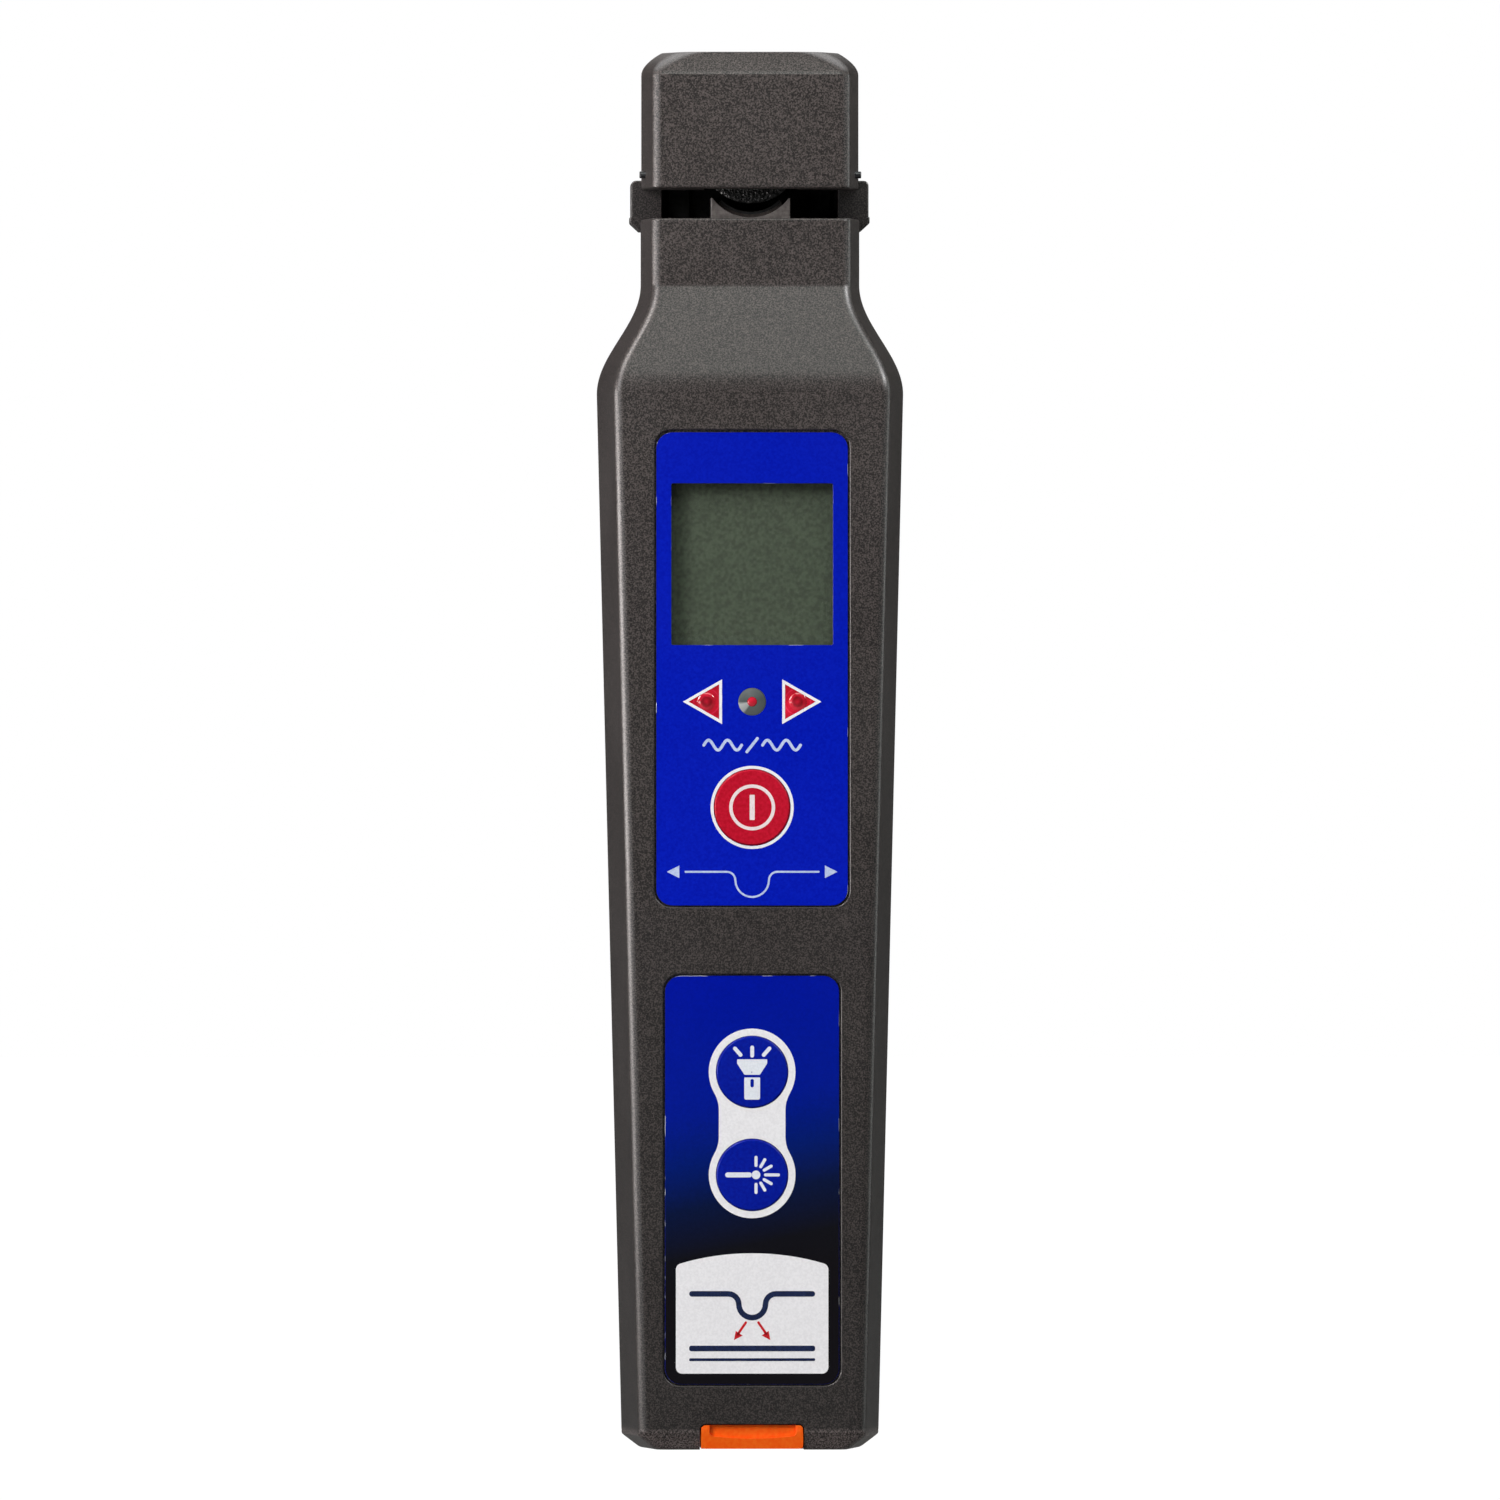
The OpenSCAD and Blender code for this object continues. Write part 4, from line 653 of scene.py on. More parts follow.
def screw(d, head_d, head_h, length, way=1):
    """Screw along Y at the origin, from its shaft's end up to a rounded head with a cross recess."""
    r, h = head_d / 2, head_h
    profile = [(-length, 0), (-length, d / 2 - 0.3), (-length + 0.4, d / 2)]
    profile += [(0, d / 2), (0, r - 0.1), (0.08, r), (h * 0.45, r)]
    profile += [(h * (0.45 + 0.55 * sin(a)), r * cos(a) * 0.35 + r * 0.65) for a in quarter(4)[1:]]
    profile += [(h, 0)]
    made = slab("screw", disc(0, 0, 0, 32), "y", [(way * y, radius) for y, radius in profile])
    size, deep = 0.58 * r, 0.55 * h
    thin, wide, span = (-0.13 * r, 0.13 * r), (-size, size), sorted((way * (h - deep), way * (h + 1)))
    return combine(made, ("-", [block(wide, span, thin), block(thin, span, wide)]))


def screws(name, node, size, y, spots, way=1, paint=STEEL, body="housing"):
    """Row of equal screws as one piece. Its spots lie under the heads, all at one distance y."""
    spots = [(x, y, z) for x, z in spots]
    return dress(gather(name, [screw(*size, way)], spots), "steel", node, body=body, paint=[paint])


screws("shell_screw_set", "shell_screws", (2, 3.8, 1.4, 17.7), 12, SHELL_SCREWS, paint=DARK_STEEL)
screws("head_screw_set", "head_screws", (2, 3.8, 1.3, 4.0), 8.6, HEAD_SCREWS, paint=DARK_STEEL)
screws("head_cover_screw_set", "head_cover_screws", (2, 3.8, 1.4, 13.7), 8, COVER_SCREWS, paint=DARK_STEEL)
screws("board_screw_set", "board_screws", (1.4, 2.6, 1.0, 3.3), -9.4, BOARD_SCREWS)
screws("bracket_screw_set", "bracket_screws", (1.4, 2.6, 1.0, 4.8), 3.4, BRACKET_SCREWS, -1)
screws("trigger_screw_set", "trigger_screws", (1.4, 2.6, 1.0, 9.9), -3.5, TRIGGER_SCREWS, -1, body="clamp_slide")


# ---- Films, lights and prints on the front ----

LIFT, SINK = 0.02, 0.08  # how far a print stands over its face, and reaches under it
ACROSS = (-16, -14)  # reaches through everything that lies on the front


def printed(name, paint, outline, face, body="housing", loop=None):
    """Print on a film or key: a thin skin over its face. A loop gives the grow of the inner and outer edge."""
    low, high = -(face + LIFT), -(face - SINK)
    stations = [(low, 0), (high, 0)]
    if loop:
        stations = [(low, loop[0]), (low, loop[1]), (high, loop[1]), (high, loop[0])]
    return dress(slab(name, outline, "y", stations, bool(loop)), "white_plastic", body=body, paint=[paint])


def printed_set(name, paint, outlines, face, body="housing"):
    """Several prints in one piece."""
    parts = [slab("part", outline, "y", [(-(face + LIFT), 0), (-(face - SINK), 0)]) for outline in outlines]
    return dress(gather(name, parts), "white_plastic", body=body, paint=[paint])


def stroke(points, width):
    """Outline of a line of even width with round ends, along a row of points."""
    path = [Vector(p) for p in points]
    tangents = [(b - a).normalized() for a, b in zip([path[0]] + path[:-1], path[1:] + [path[-1]])]
    tangents[0] = (path[1] - path[0]).normalized()
    tangents[-1] = (path[-1] - path[-2]).normalized()
    r = width / 2
    left = [tuple(p + Vector((-t.y, t.x)) * r) for p, t in zip(path, tangents)]
    right = [tuple(p + Vector((t.y, -t.x)) * r) for p, t in zip(path, tangents)]
    first = degrees(atan2(tangents[0].y, tangents[0].x))
    last = degrees(atan2(tangents[-1].y, tangents[-1].x))
    tip = arc(path[-1], r, last - 90, last + 90, 8)[1:-1]
    tail = arc(path[0], r, first + 90, first + 270, 8)[1:-1]
    return shape(right + tip + left[::-1] + tail)


def arrow_points(s):
    """Triangle over a direction light, its point away from the middle."""
    x = s * LIGHTS_X
    return [(x - s * 2.8, LIGHTS_Z - 3.2), (x - s * 2.8, LIGHTS_Z + 3.2), (x + s * 2.8, LIGHTS_Z)]


def key_holes():
    """Cutters round the two lower keys."""
    return [rod("y", 0, z, ACROSS, r + PRINT_GAP, 96) for z, r in KEYS[1:]]


on_edge = [lambda c, n: abs(n.y) < 0.93]
piece = slab("display_film", box2(*DISPLAY, 2.35, 10), "y", ends(-FILM, -POCKET, 0.1, 0, 3))
cuts = [slab("cut", box2(*WINDOW, 0.25), "y", rim(-14, -FILM, 0.05)), rod("y", 0, LIGHTS_Z, ACROSS, LIGHT_R, 64),
        rod("y", 0, POWER_Z, ACROSS, POWER_R + PRINT_GAP, 96)]
cuts += [slab("cut", shape(arrow_points(s)), "y", [(y, -0.41) for y in ACROSS]) for s in SIDES]
dress(combine(piece, ("-", cuts)), "display_film", "display_overlay",
      paint=[DISPLAY_FILM, FILM_EDGE], regions=on_edge)

piece = slab("keypad_film", box2(*KEYPAD, 2.3, 10), "y", ends(-FILM, -POCKET, 0.1, 0, 3))
dress(combine(piece, ("-", key_holes())), "keypad_film", "keypad_overlay",
      paint=[KEYPAD_FILM, FILM_EDGE], regions=on_edge)

for s, side in ((-1, "left"), (1, "right")):
    outline = shape(arrow_points(s))
    printed(side + "_arrow_border", WHITE_PRINT, outline, FILM, loop=(-0.4, 0))
    insert = slab(side + "_arrow_lens", outline, "y", ends(-14.78, -POCKET, 0.05, 0, 2))
    trim = slab("cut", outline, "y", [(-16, 3), (-16, -0.42), (-14, -0.42), (-14, 3)], True)
    dome = slab("dome", disc(s * LIGHTS_X - s * 0.55, LIGHTS_Z, 0, 48), "y", [
        (-14.97, 0), (-14.95, 0.5), (-14.9, 0.95), (-14.82, 1.2), (-14.74, 1.32), (-14.6, 1.32), (-14.6, 0)])
    combine(insert, ("-", [trim]), ("+", [dome]))
    dress(insert, "red_lens", paint=[RED_LENS])
    paint_nodes(RED_LENS, side + "_light")

lens = slab("signal_lens", disc(0, LIGHTS_Z, 0, 48), "y", [
    (-14.72, 0.7), (-14.78, 1.2), (-14.8, 1.8), (-14.74, 1.97), (-14.42, 1.97), (-14.42, 0.7)], True)
dress(lens, "clear_window", paint=[GREY_LENS])
tip = slab("signal_tip", disc(0, LIGHTS_Z, 0, 32), "y", [
    (-14.86, 0), (-14.84, 0.35), (-14.76, 0.62), (-14.62, 0.7), (-14.4, 0.7), (-14.4, 0)])
dress(tip, "red_lens", paint=[RED_LENS])
paint_nodes(RED_LENS, "no_signal_light")


def fibre_line(end, z, r, dip_r):
    """Line across the front with a bend that hangs in its middle."""
    x, low = r + dip_r, z - r
    return ([(-end, z), (-x, z)] + arc((-x, low), r, 90, 0, 6)[1:] + arc((0, low), dip_r, 180, 360, 14)[1:]
            + arc((x, low), r, 180, 90, 6)[1:] + [(end, z)])


printed("power_ring", WHITE_PRINT, disc(0, POWER_Z, 5.94, 96), FILM, loop=(-0.42, 0))
waves = [[(s * (1.5 + 5.4 * i / 32), 100.7 + s * 0.72 * sin(4 * pi * i / 32)) for i in range(33)]
         for s in SIDES] + [[(-0.75, 99.75), (0.75, 101.65)]]
printed_set("no_signal_mark", PALE_PRINT, [stroke(wave, 0.42) for wave in waves], FILM)
marks = [stroke(fibre_line(9.5, 82.6, 1.2, 2.4), 0.28)]
marks += [shape([(s * 12.2, 82.6), (s * 10.4, 83.5), (s * 10.4, 81.7)]) for s in SIDES]
printed_set("fibre_mark", PALE_PRINT, marks, FILM)


def bone():
    """Outline round the two lower keys: two discs joined by a waist with hollow corners."""
    high, low, r, hollow_r = TORCH_Z, LASER_Z, 6.2, 4.8
    x = 4.76 + hollow_r
    drop = sqrt((r + hollow_r) ** 2 - x * x)
    tilt = degrees(atan2(drop, x))
    points = arc((0, high), r, -tilt, 180 + tilt, 40)[:-1]
    points += arc((-x, high - drop), hollow_r, tilt, 0, 8) + arc((-x, low + drop), hollow_r, 0, -tilt, 8)[:-1]
    points += arc((0, low), r, 180 - tilt, 360 + tilt, 40)[:-1]
    points += arc((x, low + drop), hollow_r, 180 + tilt, 180, 8)
    points += arc((x, high - drop), hollow_r, 180, 180 - tilt, 8)[:-1]
    return shape(points)


piece = slab("key_surround", bone(), "y", [(-14.82, 0), (-14.72, 0)])
dress(combine(piece, ("-", key_holes())), "white_plastic", paint=[WHITE_PRINT])

top = arc((0, 28.1 - 37.0), 37.0, 90 - 16.2, 90 + 16.2, 16)
points = [(-10.9, 10.9), (10.9, 10.9), (10.9, 26.45)] + [p for p in top if abs(p[0]) < 10.0] + [(-10.9, 26.45)]
radii = [0.9, 0.9, 0.9] + [0.0] * (len(points) - 4) + [0.9]
printed("label_plate", WHITE_PRINT, shape(rounded(points, radii)), FILM)
marks = [stroke(fibre_line(8.6, 22.3, 1.5, 1.9), 0.8), box2((-9.0, 9.0), (14.1, 14.9), 0.3),
         box2((-9.0, 9.0), (12.7, 13.1), 0.15)]
printed_set("label_fibre", NAVY_PRINT, marks, LABEL)
marks = [stroke([(s * 0.9, 18.2), (s * 2.0, 16.6)], 0.35) for s in SIDES]
marks += [shape([(s * 2.6, 15.7), (s * 1.35, 16.35), (s * 2.35, 17.0)]) for s in SIDES]
printed_set("label_arrows", RED_PRINT, marks, LABEL)


# ---- Keys ----

def key(name, node, z, r, paint, body, slot):
    """Key with a crowned cap, a rolled rim, a flange behind the wall and a stem."""
    profile = [(-15.0, 0), (-14.995, 0.35 * r), (-14.98, 0.7 * r), (-14.96, r - 0.22)]
    profile += [(-14.96 + 0.3 * sin(a) ** 1.2, r - 0.22 + 0.22 * sin(a) ** 0.7) for a in quarter(5)[1:-1]]
    profile += [(-14.5, r), (-12.95, r), (-12.95, r + 0.7), (-12.88, r + 0.75), (-12.6, r + 0.75), (-12.6, 1.6),
                (-11.7, 1.6), (-11.6, 1.5), (-11.6, 0)]
    piece = slab(name, disc(0, z, 0, 96), "y", profile)
    return dress(piece, slot, node, body=body, paint=[paint])


key("power_key_cap", "power_button", POWER_Z, POWER_R, RED_KEY, "power_key", "red_key")
key("torch_key_cap", "torch_button", TORCH_Z, KEY_R, BLUE_KEY, "torch_key", "blue_key")
key("laser_key_cap", "laser_button", LASER_Z, KEY_R, BLUE_KEY, "laser_key", "blue_key")
printed("power_symbol_ring", PINK_PRINT, disc(0, POWER_Z, 3.28, 96), CAP, "power_key", loop=(-0.48, 0))
printed("power_symbol_bar", PINK_PRINT, box2((-0.36, 0.36), (POWER_Z - 1.8, POWER_Z + 1.8), 0.08), CAP, "power_key")


def torch_marks():
    """Torch with three rays, seen from the side."""
    def at(points):
        return [(x, TORCH_Z + z) for x, z in points]
    head = rounded(at([(-2.15, 1.81), (-2.15, 1.22), (-1.1, -0.4), (1.1, -0.4), (2.15, 1.22), (2.15, 1.81)]),
                   [0.1, 0.3, 0.2, 0.2, 0.3, 0.1], 3)
    grip = rounded(at([(-1.13, -0.78), (-1.13, -3.95), (1.13, -3.95), (1.13, -0.78)]), [0.1, 0.25, 0.25, 0.1], 3)
    beams = [(0, 2.34), (0, 3.5)], [(-1.66, 2.44), (-2.46, 3.36)], [(1.66, 2.44), (2.46, 3.36)]
    return [shape(head)] + [stroke(at(beam), 0.55) for beam in beams], shape(grip)


marks, grip = torch_marks()
printed_set("torch_symbol", SYMBOL_PRINT, marks, CAP, "torch_key")
piece = slab("torch_symbol_grip", grip, "y", [(-15.0, 0), (-14.9, 0)])
cut = slab("cut", stroke([(0, TORCH_Z - 1.25), (0, TORCH_Z - 1.95)], 0.5), "y", [(y, 0) for y in ACROSS])
dress(combine(piece, ("-", [cut])), "white_plastic", body="torch_key", paint=[SYMBOL_PRINT])

# Light spot with rays, and the beam that comes to it
SPOT_X, SPOT_R = 0.55, 1.35
marks = [stroke([(-3.5, LASER_Z), (-0.4, LASER_Z)], 0.72), disc(SPOT_X, LASER_Z, 0.62, 32)]
for angle in (-90, -60, -30, 0, 30, 60, 90):
    a = radians(angle)
    marks.append(stroke([(SPOT_X + r * cos(a), LASER_Z + r * sin(a))
                         for r in (SPOT_R, 3.2 if angle == 0 else 2.5)], 0.44))
printed_set("laser_symbol", SYMBOL_PRINT, marks, CAP, "laser_key")


# ---- Display and boards inside ----

piece = slab("display_window", box2((-12.4, 12.4), (114.15, 138.95), 0.2), "y", ends(-12.98, -12.46, 0.05))
dress(piece, "clear_window", "lcd_window", paint=[WINDOW_CLEAR])
paint_nodes(LCD, "lcd_glass")
paint_nodes(BLACK, "lcd_frame", "power_switch", "torch_switch", "laser_switch", "carriage", "slide_bracket", "buzzer")
paint_nodes(BOARD, "main_board", "detector_board")
paint_nodes(CHIP, "board_chips")
paint_nodes(STEEL, "guide_rods", "left_photodiode", "right_photodiode", "port_cover_pin")
paint_nodes(LASER_CASE, "laser_module")
paint_nodes(TORCH_LIGHT, "torch_light")


# ---- Head ----

def head_ring(z, side, side_in, face_in, corner=0.0):
    """Level of the head's outside, drawn in by different amounts at its sides and its face."""
    face = HEAD_SEAM + side * (NECK[side] - side * HEAD_SEAM - face_in)
    return half_ring(z, HEAD_HALF - side_in, HEAD_SEAM, face, HEAD_LEAN, EDGE_R + corner, SEAM_BEVEL)


def head_half(name, side):
    """One half of the head with a rolled underside and a bevelled top, hollowed out."""
    levels = [(HEAD_Z + rise, inset, inset) for rise, inset in roll(0.45, 4)] + [(HEAD_TOP - 3.3, 0, 0)]
    for i in range(1, 13):
        t = i / 12
        levels.append((HEAD_TOP - 3.2 * (1 - t * 0.97), 2.75 * t ** 1.9, 2.75 * t, 3.6 * t))
    levels += [(HEAD_TOP - 0.03, 2.95, 2.95, 3.6), (HEAD_TOP, 3.2, 3.2, 3.6)]
    outer = solid(name, [head_ring(z, side, *level) for z, *level in levels])
    inner = []
    for z, shrink in ((HEAD_FLOOR, 0), (HEAD_TOP - 4.0, 0), (HEAD_TOP - 1.6, 2.2)):
        seam = HEAD_SEAM - side
        face = seam + side * (NECK[side] - 0.6 - shrink)
        inner.append(half_ring(z, HEAD_HALF - 1.6 - shrink, seam, face, HEAD_LEAN, INNER_R, 0, 4))
    return outer, solid("hollow", inner)


bosses, cuts = rods("y", COVER_SCREWS, (-8.7, 1), HEAD_BOSS), rods("y", COVER_SCREWS, (-6, 2), BORE)
cuts += [slab("cut", box2((-6.5, 6.5), (-6.6, 3), 0.4), "z", rim(183, HEAD_Z, 0.25)),
         rod("x", *PIN, (-31, 31), PIN_BORE)]
shell("head_front", "head_cover", head_half, FRONT, bosses, cuts)

EAR = [(12.6, 176.1), (15.2, 176.1), (15.2, 174.4), (15.9, 174.4), (17.2, 175.6), (17.2, 176.4),
       (17.05, 176.6), (17.05, 181.7), (12.6, 181.7)]
EAR_RADII = [0, 0, 0.15, 0.3, 0.4, 0.12, 0.05, 0.7, 0.3]
bosses, cuts = [block((-12.6, 12.6), (4, 9.6), (176.1, HEAD_FLOOR), 0.15)], []
for s, low, high in zip(SIDES, HEAD_SCREWS, COVER_SCREWS):
    outline = shape(rounded([(s * x, z) for x, z in EAR], EAR_RADII, 4))
    bosses += [slab("ear", outline, "y", ends(1, 9, 0.22, 0.5)),
               block(sorted((s * 8.6, s * 11.6)), (3, 8), (163.9, HEAD_FLOOR), 0.15),
               rod("y", *high, (1, 9.2), HEAD_BOSS)]
    cuts += [rod("y", *low, (3.8, 9), BORE), rod("y", *high, (0, 11), BORE), counterbore(*high, 8, NECK[REAR])]
cuts += [block((-6.5, 6.5), (0, 3.3), (179, 183))]
shell("head_rear", "head_frame", head_half, REAR, bosses, cuts, paint=[SLOT_BLACK_AND_SHADE, EAR_SHELL_SHADED], regions=[
    lambda c, n: abs(c.x) < 12.5 and c.z < 182.2 and c.y < 9.3 and n.y < 0.5,
    lambda c, n: abs(c.x) >= 12.5 and c.z < 180.3])

crown = [(-5.9, 190.3), (5.9, 190.3)] + arc((0, 184.4), 5.9, 0, -180, 40)
piece = slab("presser_pad", shape(crown), "y", ends(-5.5, 3, 0.35))
combine(piece, ("-", [rod("x", *PIN, (-8, 8), PIN_BORE)]))
dress(piece, "black_plastic", "fibre_presser", paint=[RUBBER])

# Sponge that keeps stray light out, bumpy all over its face
arch = arc((0, 185.6), 7.3, -148.1, -31.9, 60) + [(6.2, 184.3), (-6.2, 184.3)]
middle = Vector((0, 181.0))
rings = []
for share in [0.04] + [i / 14 for i in range(1, 15)]:
    ring = []
    for x, z in arch:
        x, z = middle.lerp(Vector((x, z)), share)
        y = -6.3 + 0.14 * noise.noise(Vector((x, 0, z)) * 2.6) + 0.08 * noise.noise(Vector((x, 5, z)) * 6.0)
        edge = 0.25 * max(0.0, share - 0.86) / 0.14
        ring.append((x, y + edge, z))
    rings.append(ring)
rings.append([(x, -5.5, z) for x, z in arch])
piece = solid("sponge_seal", rings)
dress(piece, "foam", "light_seal", paint=[FOAM], sharp=60)

dress(slab("cross_pin", disc(*PIN, 0.5, 32), "x", ends(-15.9, 15.9, 0.12)), "steel", "presser_pin", paint=[DARK_STEEL])

horns = [(-5.65, 168.0), (5.65, 168.0), (5.65, 179.1)]
horns += arc(GROOVE, 6.7, -36.2, -143.8, 30) + [(-5.65, 179.1)]
piece = slab("grooved_adapter", shape(horns), "y", ends(-5, 3, 0.12))
inner = shape([(-4.9, 175.5), (4.9, 175.5)] + arc(GROOVE, 6.25, -45, -135, 30))
saddle = slab("saddle", inner, "y", ends(-4.0, 2.2, 0.1))
diodes = [rod("z", s * 3, -1, (167, 172.15), 1.65) for s in SIDES]
combine(piece, ("+", [saddle]), ("-", diodes))
dress(piece, "adapter", "fibre_adapter", body="clamp_slide", paint=[ADAPTER, SADDLE_SHADE], regions=[
    lambda c, n: c.z > 175.6 and c.y > -4.6 and hypot(c.x, c.z - GROOVE[1]) < 6.72])
# Black rubber lining in the groove, which also stands for the shade between the groove and the sponge.
strip = arc(GROOVE, 6.3, -45, -135, 24) + arc(GROOVE, 5.85, -135, -45, 24)
piece = slab("groove_lining_and_shade", shape(strip), "y", ends(-3.6, 1.8, 0.1))
dress(piece, "adapter", body="clamp_slide", paint=[RUBBER])


# ---- Moving pieces ----

def coil(name, x, y, z, mean_r, wire_r, turns, steps=28, sides=10):
    """Coil spring along Z with closed ends."""
    count = int(turns * steps)
    rings = []
    for i in range(count + 1):
        t = i / count
        rise = along(t * turns, 1.0, turns - 2.0)
        a = 2 * pi * turns * t
        level = z[0] + wire_r + 0.5 * wire_r * min(1, t * turns) + (z[1] - z[0] - 3 * wire_r) * rise
        ring = []
        for k in range(sides):
            b = 2 * pi * k / sides
            r = mean_r + wire_r * cos(b)
            ring.append((x + r * cos(a), y + r * sin(a), level + wire_r * sin(b)))
        rings.append(ring)
    return solid(name, rings)


for s, side in ((-1, "left"), (1, "right")):
    piece = coil(side + "_spring_coil", s * 8.5, -1, (149, 160), 1.9, 0.25, 9)
    dress(piece, "steel", side + "_return_spring", paint=[SPRING_STEEL], sharp=60)
    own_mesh(piece)

piece = slab("trigger_pad", box2((-8, 8), (154, 171), 2.0, 8), "y", ends(10.25, 14.5, 0.4, 0.7, 5))
ridges = []
for i in range(5):
    outline = stroke([(-5.6, 157.7 + 2.4 * i), (5.6, 157.7 + 2.4 * i)], 1.1)
    ridges.append(slab("ridge", outline, "y", ends(13.5, 15.0, 0, 0.45)))
stem = block((-5.5, 5.5), (2.7, 12.5), (160, 166), 0.2)
combine(piece, ("+", ridges + [stem]), ("-", rods("y", TRIGGER_SCREWS, (1.7, 6.7), SMALL_BORE)))
dress(piece, "black_plastic", "trigger", body="clamp_slide", paint=[BLACK])

piece = slab("battery_cover", box2((-12.15, 12.15), (9.2, 61.5), 1.1, 6), "y", ends(13.75, 14.95, 0, 0.25))
hinge = slab("hinge", disc(*DOOR_HINGE, 1.15, 32), "x", ends(-12.15, 12.15, 0.15))
trim = block((-14, 14), (12, 16), (7.0, 9.85))
stubs = slab("stubs", disc(*DOOR_HINGE, 0.6, 24), "x", ends(-13.25, 13.25, 0.12))
grooves = []
for i in range(5):
    z = 61.5 - 1.6 * (i + 2)
    grooves.append(slab("groove", stroke([(-5.7, z), (5.7, z)], 0.85), "y", rim(14.62, 14.95, 0.12)))
combine(piece, ("-", [trim]), ("+", [hinge, stubs]), ("-", grooves))
dress(piece, "shell", "battery_door", body="door", paint=[DOOR_SHELL])

lip = slab("port_flap", box2((-7.3, 7.3), (0.15, 3.55), 0.62), "y", ends(-14.85, -13.2, 0.12, 0.1))
plate = block((-7.3, 7.3), (-14.2, 2.0), (0.15, 1.75), 0.1)
barrel = slab("barrel", disc(*FLAP_HINGE, 1.05, 32), "x", ends(-7.3, 7.3, 0.12))
slope = solid("cut", [[(x, -16, -1), (x, -14.45, -0.15), (x, -14.45, 0.15), (x, -14.85, 2.5), (x, -16, 2.5)]
                      for x in (-9, 9)])
dip = [(-5.9, 5), (-6.1, 2.0), (-3.0, 1.72), (0, 1.64), (3.0, 1.72), (6.3, 2.0), (6.15, 5)]
scoop = slab("scoop", shape(rounded(dip, [0, 0.6, 3, 3, 3, 0.6, 0], 4)), "y", rim(-14.3, -14.85, 0.15))
combine(lip, ("+", [plate, barrel]), ("-", [slope, scoop, rod("x", *FLAP_HINGE, (-8, 8), PIN_BORE)]))
dress(lip, "orange", "port_cover", body="cover", paint=[ORANGE])

profile = [(3.6, 1.45), (3.75, 2.3), (3.9, 2.5), (13.0, 2.5), (13.2, 2.3), (13.2, 1.4), (13.0, 1.26), (4.1, 1.26)]
piece = slab("ferrule_sleeve", disc(*PORT, 0, 48), "z", profile, True)
dress(piece, "sleeve", "laser_sleeve", paint=[CERAMIC])

profile = [(0.62, 0), (0.55, 0.6), (0.66, 0.75), (0.58, 1.35), (0.7, 1.5), (0.6, 2.1), (0.72, 2.25), (0.45, 2.5),
           (0.42, 2.8), (0.5, 2.9), (1.5, 2.9), (1.5, 0)]
piece = slab("torch_lens_disc", disc(*TORCH, 0, 64), "z", profile)
dress(piece, "torch_lens", "torch_lens", paint=[TORCH_LENS], sharp=20)


def cell(name, node, x, up):
    """Small round cell: can, crimped ends, printed wrap with a pale band and a tip."""
    low, high, r = 14.6, 59.1, 5.25
    profile = [(0, 0), (0, 3.6), (0.15, 4.3), (0.15, r - 0.45), (0.35, r - 0.1), (0.6, r)]
    profile += [(11.0, r), (11.05, r - 0.015), (16.0, r - 0.015), (16.05, r), (42.8, r), (43.15, r - 0.12)]
    profile += [(43.4, r - 0.5), (43.3, r - 0.9), (43.4, 2.3), (43.5, 1.9), (44.3, 1.85), (44.5, 1.6), (44.5, 0)]
    made = slab(name, disc(x, CELL_Y, 0, 48), "z", [(low + z if up else high - z, radius) for z, radius in profile])
    share = (lambda c: c.z - low) if up else (lambda c: high - c.z)
    return dress(made, "cell", node, paint=[CELL_WRAP, CELL_BAND, STEEL], regions=[
        lambda c, n: 11.0 < share(c) < 16.05, lambda c, n: share(c) > 43.2 or share(c) < 0.3])


def contact_set(name, node, base, up, springy):
    """Contact plates of both cells at one end, with a knob for one cell and a spring for the other."""
    tall = 1.5 if up > 0 else 0.5
    plate, step, root, neck, tip, end = (base + up * h for h in (0.02, 0.3, 0.35, 0.3 + tall * 0.7, 0.45, 0.4 + tall))
    span = sorted((plate, base + up * 0.4))
    parts = [block(sorted((s * 0.6, s * 10.6)), (2.9, 13.0), span, 0.1) for s in SIDES]
    parts.append(slab("knob", disc(-springy * CELL_X, CELL_Y, 0, 32), "z", [
        (step, 0), (step, 2.0), (tip, 1.9), (neck, 1.3), (end, 0.8), (end, 0)]))
    wire = 0.14 if tall < 1 else 0.22
    parts.append(coil("bump", springy * CELL_X, CELL_Y, sorted((root, end)), 1.75, wire, 2.4))
    dress(gather(name, parts), "steel", node, paint=[SPRING_STEEL])


cell("left_cell_can", "left_cell", -CELL_X, True)
cell("right_cell_can", "right_cell", CELL_X, False)
contact_set("lower_contact_set", "lower_contacts", 12.4, 1, -1)
contact_set("upper_contact_set", "upper_contacts", 60.3, -1, 1)


# ---- Floor, lamps and camera ----

def lamp(name, where, aim_z, size, power, tint=(1, 1, 1), gloss_only=False):
    """Soft rectangular lamp aimed at the object's axis. One for gloss only draws the highlights on the long edges."""
    light = bpy.data.lights.new(name, "AREA")
    light.shape, light.size, light.size_y = "RECTANGLE", *size
    light.energy, light.color = power, tint
    add(name, light, where, (0, 0, aim_z)).visible_diffuse = not gloss_only


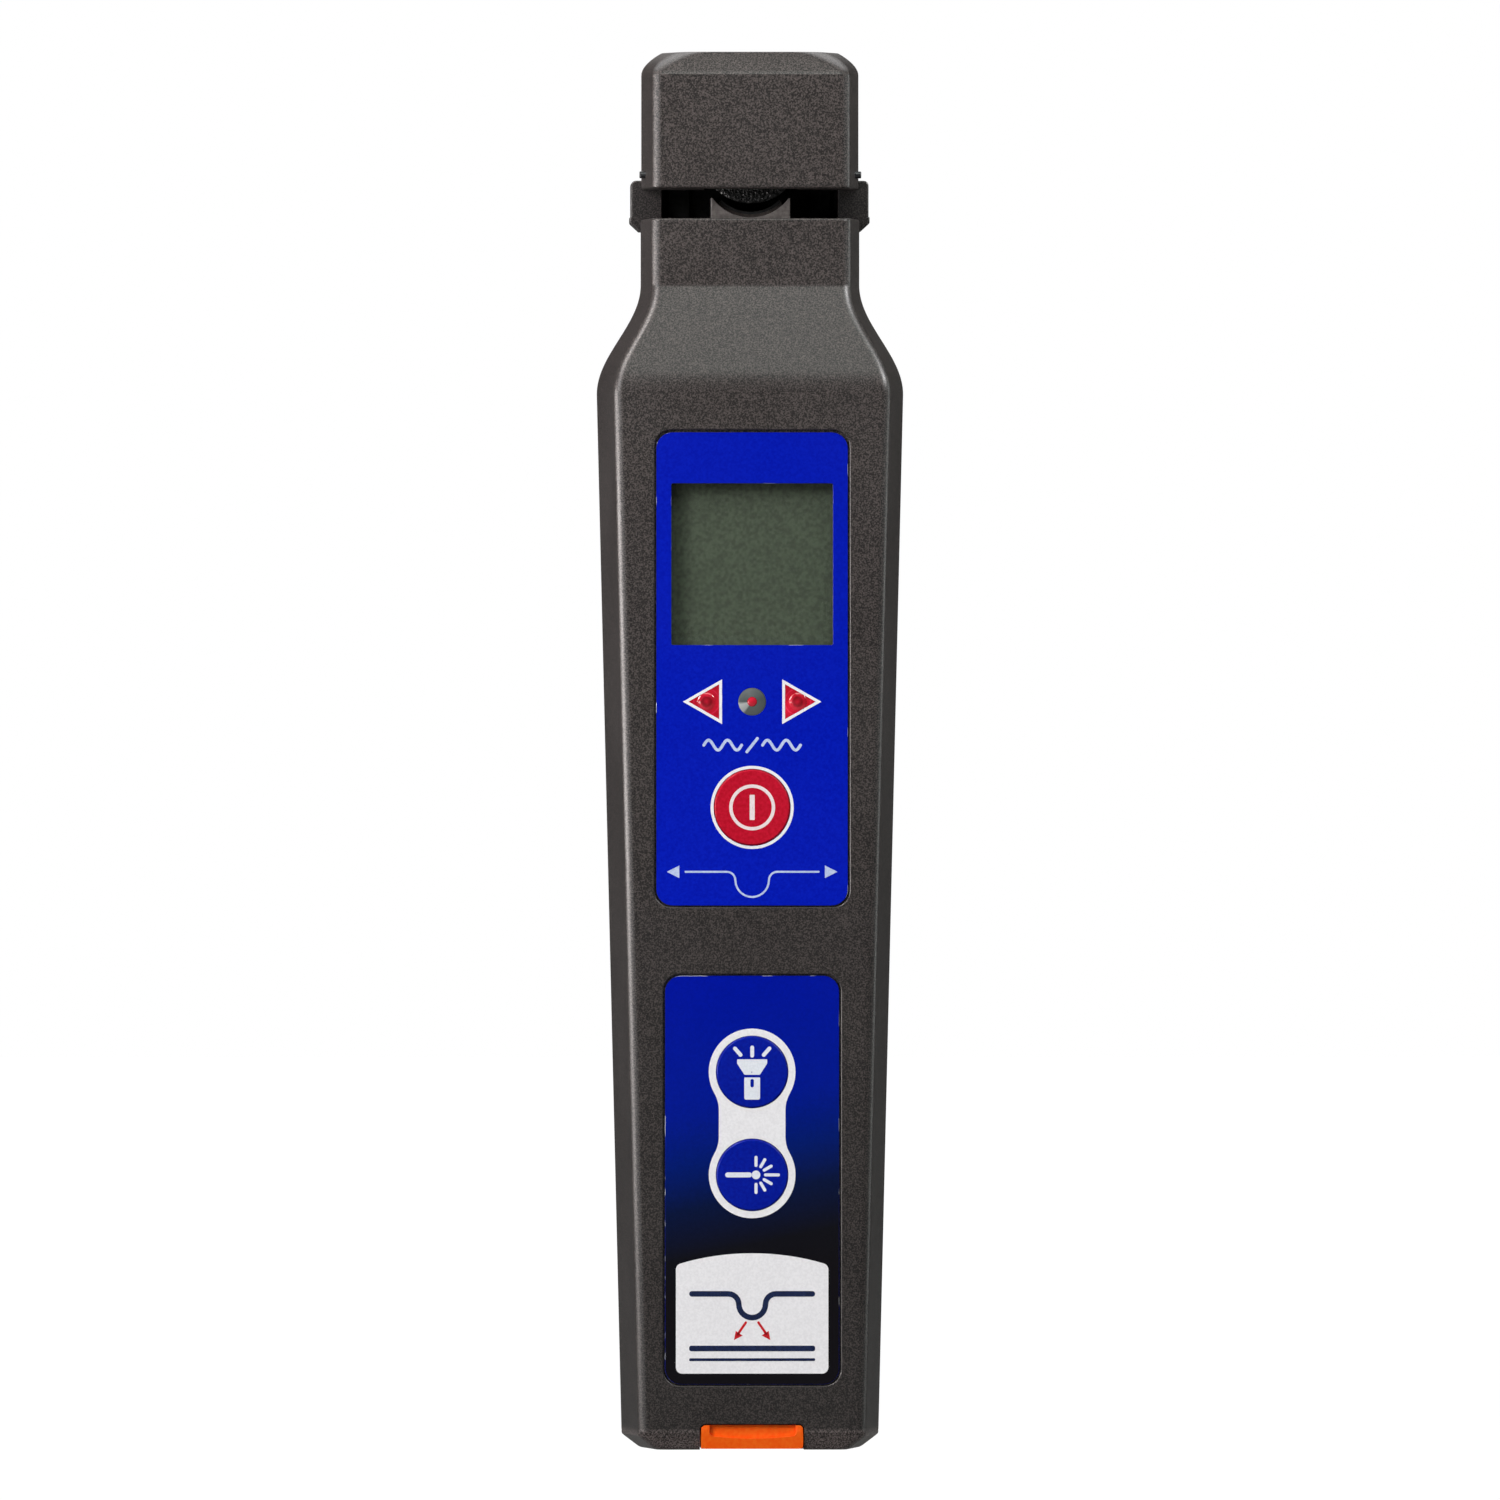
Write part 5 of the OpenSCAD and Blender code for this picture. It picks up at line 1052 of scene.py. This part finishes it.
WARM = (1.0, 0.95, 0.93)
lamp("Top softbox", (0.12, -0.35, 0.75), 0.14, (0.6, 0.45), 3.5, (0.92, 1.0, 0.94))
lamp("Left key", (-0.62, -0.52, 0.45), 0.12, (0.3, 0.3), 6)
lamp("Low fill", (-0.5, -0.85, 0.07), 0.09, (0.3, 0.1), 1.0)
lamp("Left edge", (-0.372, -0.066, 0.108), 0.11, (0.24, 0.1), 2.65, WARM, True)
lamp("Left shoulder", (-0.31, -0.12, 0.56), 0.16, (0.2, 0.2), 3.6, WARM, True)
lamp("Right edge", (0.6, 0.11, 0.11), 0.1, (0.15, 0.6), 1.7, (0.95, 1.0, 0.97))
lamp("Right shoulder", (0.44, -0.22, 0.48), 0.16, (0.18, 0.18), 5.4, (1, 1, 1), True)
lamp("Back fill", (0.0, 0.75, 0.95), 0.1, (0.8, 0.6), 4)

world = bpy.data.worlds.new("Studio")
bpy.context.scene.world = world
world.use_nodes = True
background = world.node_tree.nodes["Background"]
background.inputs["Color"].default_value = (1, 1, 1, 1)
rays = link_node(world, "LightPath").outputs
toward = link_node(world, "TexCoord").outputs["Generated"]
depth = link_node(world, "SeparateXYZ", {"Vector": toward}).outputs["Y"]
strength = 0.2
for ray, target in (("Is Glossy Ray", spread(world, depth, 0.06, 0.03, -0.2, 0.8)),
                    ("Is Transmission Ray", 1.0), ("Is Camera Ray", 1.0)):
    strength = link_node(world, "Mix", {0: rays[ray], 2: strength, 3: target}).outputs[0]
world.node_tree.links.new(strength, background.inputs["Strength"])

grid = bmesh.new()
bmesh.ops.create_grid(grid, x_segments=1, y_segments=1, size=6.0)
floor = link("Floor", grid)
floor.location.z = -18 * MM  # leaves room for the port cover to swing open
paper = start("Paper floor", Roughness=0.9, shine=0.0)
feed(paper, "Base Color", ramp(paper, grain(paper, 300), (0.3, 0.19), (0.7, 0.21)))
rays = link_node(paper, "LightPath").outputs
away = maths(paper, "LENGTH", spot(paper), kind="Vector", out="Value")
seen = maths(paper, "MULTIPLY", rays["Is Camera Ray"], spread(paper, away, 0.84, 1.0, 0.3, 2.0))
feed(paper, "Emission Strength", maths(paper, "MULTIPLY_ADD", rays["Is Glossy Ray"], 0.03, seen))
paper.node_tree.nodes["Principled BSDF"].inputs["Emission Color"].default_value = (1, 1, 1, 1)
floor.data.materials.append(paper)

AIM = Vector((-0.0001, -0.005, 0.1))
REACH, TURN = 3.5816, radians(1.2)
eye = bpy.data.cameras.new("Camera")
eye.lens, eye.sensor_width, eye.clip_end = 600.0, 36.0, 100.0
bpy.context.scene.camera = add("Camera", eye, AIM + Vector((-sin(TURN), -cos(TURN), 0)) * REACH, AIM)
bpy.context.scene.view_settings.view_transform = "Standard"
